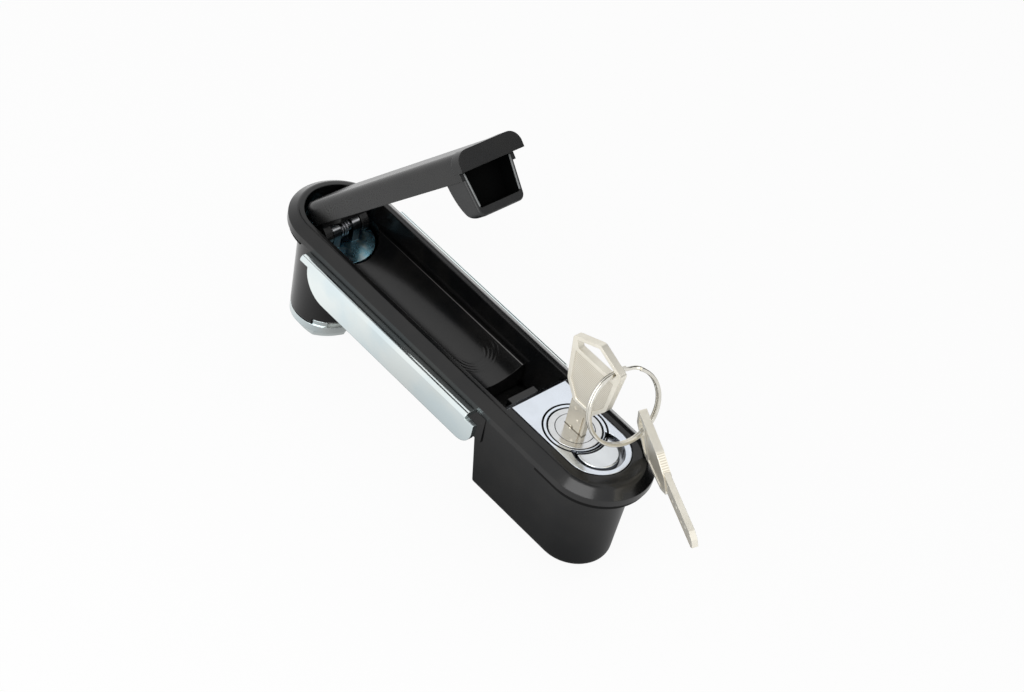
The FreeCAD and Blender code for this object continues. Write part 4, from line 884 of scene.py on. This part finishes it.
def addSplitRing():
    across = Vector((0, 0, 1)) - ring["normal"] * ring["normal"].z
    across.normalize()
    aside = ring["normal"].cross(across)
    section = ringSection()
    build = bmesh.new()
    start = ring["stepAt"] + ring["stepHalf"]
    stop = start + 360.0 * ring["turns"] - 2 * ring["stepHalf"]
    count = int((stop - start) / 360.0 * ring["stepsPerTurn"])
    loops = []
    for number in range(count + 1):
        turn = start + (stop - start) * number / count
        share = (turn - ring["stepAt"] - 360.0 + ring["stepHalf"]) / (2 * ring["stepHalf"])
        share = min(1.0, max(0.0, share))
        shift = ring["spread"] * (2 * share * share * (3 - 2 * share) - 1)
        angle = math.radians(turn)
        out = across * math.cos(angle) + aside * math.sin(angle)
        middle = ring["centre"] + out * ring["radius"] + ring["normal"] * shift
        loops.append([build.verts.new(middle + out * a + ring["normal"] * b) for a, b in section])
    for first, second in zip(loops, loops[1:]):
        for number, vert in enumerate(first):
            after = (number + 1) % len(first)
            build.faces.new((vert, first[after], second[after], second[number]))
    build.faces.new(list(reversed(loops[0])))
    build.faces.new(loops[-1])
    mesh = smoothed(meshOf("split_ring_turns", build))
    piece = addMesh("split_ring_turns", mesh, "ring", finishes["nickel_ring"])
    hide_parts("split_ring")


addSplitRing()
print("split ring wound")

# Keys: one shape in its own frame (mm, X along the key, Z through it), used twice
keys = {
    "outline": [(0, 0), (4.4, 10.6), (20.6, 8.7), (26.8, 4.0), (26.8, -4.0), (20.6, -8.7), (4.4, -10.6)],
    "outlineRound": 1.0,
    "hole": [(1.3, 0), (5.1, 8.7), (7.6, 7.6), (7.6, -7.6), (5.1, -8.7)],
    "holeRound": 0.4,
    "panel": [(8.8, 8.5), (20.2, 7.6), (25.8, 3.4), (25.8, -3.4), (20.2, -7.6), (8.8, -8.5)],
    "panelRound": 0.6,
    "panelDraft": 0.965,
    "panelOver": 0.1,
    "roundSteps": 3,
    "aside": 1.3,  # how far the bow stands off the blade's line
    "bowHalf": 1.25,
    "panelHalf": 0.92,
    "blade": [(25.8, -3.75), (48.8, -3.75), (50.8, -1.75), (50.8, 1.75), (48.8, 3.75), (25.8, 3.75)],
    "bladeHalf": 0.95,
    "slot": [(30.0, 2.35), (52.0, 2.35), (52.0, 2.95), (30.0, 2.95)],  # warding groove along the blade
    "slotDepth": 0.3,
    "dimples": [(29.0, -1.2), (33.0, 0.9), (37.0, -0.9), (41.0, 1.1), (45.0, -1.0)],
    "dimpleRadius": 0.7,
    "dimpleDepth": 0.4,
    "dimpleOver": 0.1,  # the cone runs on past the blade's face by this share of its depth
    "dimpleCap": 0.5,
    "dimpleSteps": 20,
    "smoothBelow": 25.0,
    "places": {
        "key": {
            "body": "key",
            "origin": (113.0, 0.0, 42.4),
            "along": (0.0, 0.0, -1.0),
            "across": (1.0, 0.0, 0.0),
        },
        "spare_key": {
            "body": "spare",
            "origin": (127.8, 10.22, 17.39),
            "yaw": -24.8,
            "roll": 18.0,
        },
    },
}


def keyOutline(name, *steps):
    aside = Vector((0, keys["aside"]))
    return [Vector(point) + aside for point in roundedOutline(keys[name], keys[name + "Round"], *steps)]


def dimple(side, place):
    face, depth, over = keys["bladeHalf"], keys["dimpleDepth"], keys["dimpleOver"]
    cone = [
        (0, side * (face - depth)),
        (keys["dimpleRadius"] * (1 + over), side * (face + depth * over)),
        (0, side * (face + keys["dimpleCap"])),
    ]
    return turned("keyDimple", cone, keys["dimpleSteps"], place)


def keyMesh():
    hole = keyOutline("hole", keys["roundSteps"])
    panel = keyOutline("panel", keys["roundSteps"])
    bow, level, blade = keys["bowHalf"], keys["panelHalf"], keys["bladeHalf"]
    past, draft = bow + keys["panelOver"], keys["panelDraft"]
    slotFloor = blade - keys["slotDepth"]
    steps = [
        ("DIFFERENCE", prism("keyHole", hole, -bow - overcut, bow + overcut)),
        ("DIFFERENCE", prism("keyPanelUpper", panel, level, past, draft)),
        ("DIFFERENCE", prism("keyPanelLower", panel, -level, -past, draft)),
        ("UNION", prism("keyBlade", keys["blade"], -blade, blade)),
        ("DIFFERENCE", prism("keySlotUpper", keys["slot"], slotFloor, blade + overcut)),
        ("DIFFERENCE", prism("keySlotLower", keys["slot"], -blade - overcut, -slotFloor)),
    ]
    steps += [("DIFFERENCE", dimple(side, place)) for side in (-1, 1) for place in keys["dimples"]]
    return carved("keyBlank", prism("keyBow", keyOutline("outline"), -bow, bow), steps)


def keyPlace(place):
    if "yaw" in place:
        yaw, roll = math.radians(place["yaw"]), math.radians(place["roll"])
        along = Vector((math.cos(yaw), math.sin(yaw), 0))
        across = Vector((-math.sin(yaw), math.cos(yaw), 0)) * math.sin(roll) - Vector((0, 0, math.cos(roll)))
    else:
        along, across = Vector(place["along"]), Vector(place["across"])
    axes = Matrix((along, across, along.cross(across))).transposed()
    return Matrix.Translation(Vector(place["origin"]) * mm) @ axes.to_4x4()


def addKeys():
    shape = smoothed(keyMesh(), keys["smoothBelow"])
    # the spare key gets its own copy of the nickel, without the blade's painted shade
    coats = {"key": finishes["nickel_key"], "spare_key": keyLook("spareKeyNickel", "spare_key")}
    for node, place in keys["places"].items():
        mesh = shape.copy()
        piece = addMesh(node + "_blank", mesh, place["body"], coats[node], keyPlace(place))
        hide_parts(node)


addKeys()
print("keys cut")

# Screws seen from below, and the spindle's nut
fasteners = {
    "cover_screws": {
        "at": [(96.1, 0.0), (128.8, 0.0)],
        "seat": -35.1,
        "head": (2.4, 1.2),
        "shank": (1.4, 7.6),
        "socket": "cross",
    },
    "bracket_screws": {
        "at": [(26.0, 0.0), (64.0, 0.0)],
        "seat": -12.2,
        "head": (3.6, 2.4),
        "shank": (1.9, 4.4),
        "socket": "hexagon",
    },
    "headCurve": [(0.5, 0.02), (0.78, 0.14), (0.94, 0.4), (1.0, 0.72)],  # shares of the head's radius, height
    "tip": (0.4, 0.5),
    "socketFloor": 0.4,  # share of the head's height under its seat
    "hexagonShare": 0.95,
    "crossShare": (0.62, 0.15),
    "crossDraft": 0.7,
    "steps": 48,
    "screwSmoothBelow": 35.0,
    "nut": {
        "across": 18.4,
        "top": -39.1,
        "height": 3.9,
        "bore": 7.87,
        "boreLead": 0.5,
        "chamfer": 1.2,
        "chamferRise": 0.55,
        "lowChamfer": (0.98, 1.6),  # shares of the flat's radius and of the chamfer's rise
        "topChamfer": (1.03, 0.8),
        "past": 0.3,
        "steps": 96,
        "smoothBelow": 30.0,
    },
}


def polygon(sides, across, middle=(0.0, 0.0)):
    corner = across / 2 / math.cos(math.pi / sides)
    turns = [2 * math.pi * number / sides for number in range(sides)]
    return [(middle[0] + corner * math.cos(turn), middle[1] + corner * math.sin(turn)) for turn in turns]


def screwMesh(name, screw, middle):
    seat = screw["seat"]
    radius, height = screw["head"]
    shank, length = screw["shank"]
    tipIn, tipLong = fasteners["tip"]
    low, end = seat - height, seat + length
    profile = [(0, low)]
    profile += [(radius * share, low + height * rise) for share, rise in fasteners["headCurve"]]
    profile += [(radius, seat), (shank, seat), (shank, end - tipLong), (shank - tipIn, end), (0, end)]
    body = turned(name, profile, fasteners["steps"], middle)
    deep = seat - height * fasteners["socketFloor"]
    if screw["socket"] == "hexagon":
        outline = polygon(6, radius * fasteners["hexagonShare"], middle)
        return carved(name, body, [("DIFFERENCE", prism(name + "Socket", outline, deep, low - overcut))])
    wide, slim = (radius * share for share in fasteners["crossShare"])
    signs = ((-1, -1), (1, -1), (1, 1), (-1, 1))
    steps = []
    for long, short in ((wide, slim), (slim, wide)):
        outline = [(middle[0] + x * long, middle[1] + y * short) for x, y in signs]
        socket = prism(name + "Socket", outline, deep, low - overcut, fasteners["crossDraft"])
        steps.append(("DIFFERENCE", socket))
    return carved(name, body, steps)


def addScrews():
    for node in ("cover_screws", "bracket_screws"):
        screw = fasteners[node]
        for number, middle in enumerate(screw["at"], 1):
            mesh = smoothed(screwMesh(node, screw, middle), fasteners["screwSmoothBelow"])
            piece = addMesh(f"{node}_{number}", mesh, "base", finishes["zinc_hardware"])
            if number == 1:
                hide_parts(node)


def addNut():
    nut = fasteners["nut"]
    top, low = nut["top"], nut["top"] - nut["height"]
    flat, corner = nut["across"] / 2, nut["across"] / math.sqrt(3) + nut["past"]
    rise = nut["chamfer"] * nut["chamferRise"]
    lowFlat, lowRise = nut["lowChamfer"]
    topFlat, topRise = nut["topChamfer"]
    sides = turned("nutSides", [
        (0, low), (flat * lowFlat, low), (corner, low + rise * lowRise),
        (corner, top - rise * topRise), (flat * topFlat, top), (0, top),
    ], nut["steps"])
    bore, lead = nut["bore"], nut["boreLead"]
    wide = bore + lead + overcut
    hole = turned("nutBore", [
        (0, low - overcut), (wide, low - overcut), (bore, low + lead),
        (bore, top - lead), (wide, top + overcut), (0, top + overcut),
    ], nut["steps"])
    blank = prism("nutBlank", polygon(6, nut["across"]), low, top)
    mesh = carved("spindle_nut_hexagon", blank, [("INTERSECT", sides), ("DIFFERENCE", hole)])
    mesh = smoothed(mesh, nut["smoothBelow"])
    piece = addMesh("spindle_nut_hexagon", mesh, "spindle", finishes["zinc_hardware"])
    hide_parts("spindle_nut")


addScrews()
addNut()
print("screws and nut made")


def addReturnSpring():
    coil = nodes["button_spring"].data.copy()
    coil.name = "button_spring_coil"
    coil.materials.clear()
    piece = addMesh("button_spring_coil", coil, "button", finishes["spring_steel"])
    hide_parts("button_spring")
    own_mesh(piece)


addReturnSpring()
print("return spring set")

# A near-black sheet painting the shade inside the hood's cavity, and beads along its mouth, in mm, laid out
# with the handle flat and then raised
hood = {
    "lift": 48.8,
    "hinge": (0.0, 0.0, -2.1),
    "rear": 80.5,
    "front": 87.5,
    "top": (9.2, 5.5),  # half width and height at the cavity's upper corners, arm level
    "low": (8.065, -6.5),
    "liner": 0.15,
    "linerGap": 0.04,
    "linerShort": 0.5,
    "linerRound": (1.0, 0.9),  # outside, inside
    "shadeSheetTone": ((0.0008, 0.0009, 0.0009), (0.0016, 0.0018, 0.0018)),
    "linerSurface": {"Specular IOR Level": 0.05, "Roughness": 0.6},
    "sheetNoise": (5200.0, 2.0),
    "sheetNoiseBump": (0.6, 0.05 * mm),
    "bead": 0.32,
    "beadFromTop": 0.35,
    "beadFromLow": 0.5,
    "beadEnd": [(0.7, 0.08), (1.0, 0.3)],  # share of its radius, and distance from its end
    "beadSteps": 12,
}


def hoodPlace():
    lift = Matrix.Rotation(-math.radians(hood["lift"]), 4, "Y")
    return Matrix.Translation(Vector(hood["hinge"]) * mm) @ lift


def hoodSection(inset):
    topHalf, top = hood["top"]
    lowHalf, low = hood["low"]
    return [
        (-lowHalf + inset, low + inset), (lowHalf - inset, low + inset),
        (topHalf - inset, top - inset), (-topHalf + inset, top - inset),
    ]


# matte near-black for the cavity's painted shade
def shadeSheetLook(name):
    look = Look(name, hood["linerSurface"])
    sheetNoise = look.noise(*hood["sheetNoise"])
    tone = look.mix(sheetNoise, *hood["shadeSheetTone"])
    return look.finish(Base_Color=tone, Normal=look.bump(sheetNoise, *hood["sheetNoiseBump"]))


def addHoodShadeSheet():
    # a near-black sheet painting the shade in the cavity, a thin box open to the front
    gap, wall = hood["linerGap"], hood["liner"]
    outRound, inRound = hood["linerRound"]
    outer = roundedOutline(hoodSection(gap), outRound)
    inner = roundedOutline(hoodSection(gap + wall), inRound)
    box = prism("hoodLinerOuter", outer, hood["rear"] + gap, hood["front"] - hood["linerShort"])
    room = prism("hoodLinerRoom", inner, hood["rear"] + gap + wall, hood["front"] + overcut)
    mesh = carved("hood_liner", box, [("DIFFERENCE", room)])
    # the outline's X and Y and the prism's height become Y, Z and X
    turnUp = Matrix(((0, 0, 1, 0), (1, 0, 0, 0), (0, 1, 0, 0), (0, 0, 0, 1)))
    addMesh("hood_liner", mesh, "handle", shadeSheetLook("paintedShadeSheet"), hoodPlace() @ turnUp)


def addHoodBeads():
    # beads pale for a painted highlight along the mouth
    beadHighlightLook = plasticLook("beadHighlightPlastic", "bead")
    radius = hood["bead"]
    for name, side in (("near", -1), ("far", 1)):
        top = Vector((hood["front"], side * hood["top"][0], hood["top"][1] - hood["beadFromTop"]))
        low = Vector((hood["front"], side * hood["low"][0], hood["low"][1] + hood["beadFromLow"]))
        reach = (top - low).length
        foot = [(radius * share, inward) for share, inward in hood["beadEnd"]]
        head = [(wide, reach - inward) for wide, inward in reversed(foot)]
        mesh = turned(f"hood_bead_{name}", [(0, 0), *foot, *head, (0, reach)], hood["beadSteps"])
        stand = Matrix.Translation(low * mm) @ (top - low).to_track_quat("Z", "X").to_matrix().to_4x4()
        addMesh(f"hood_bead_{name}", smoothed(mesh), "handle", beadHighlightLook, hoodPlace() @ stand)


addHoodShadeSheet()
addHoodBeads()
print("hood lined and beads laid")

scene.view_settings.view_transform = "Standard"
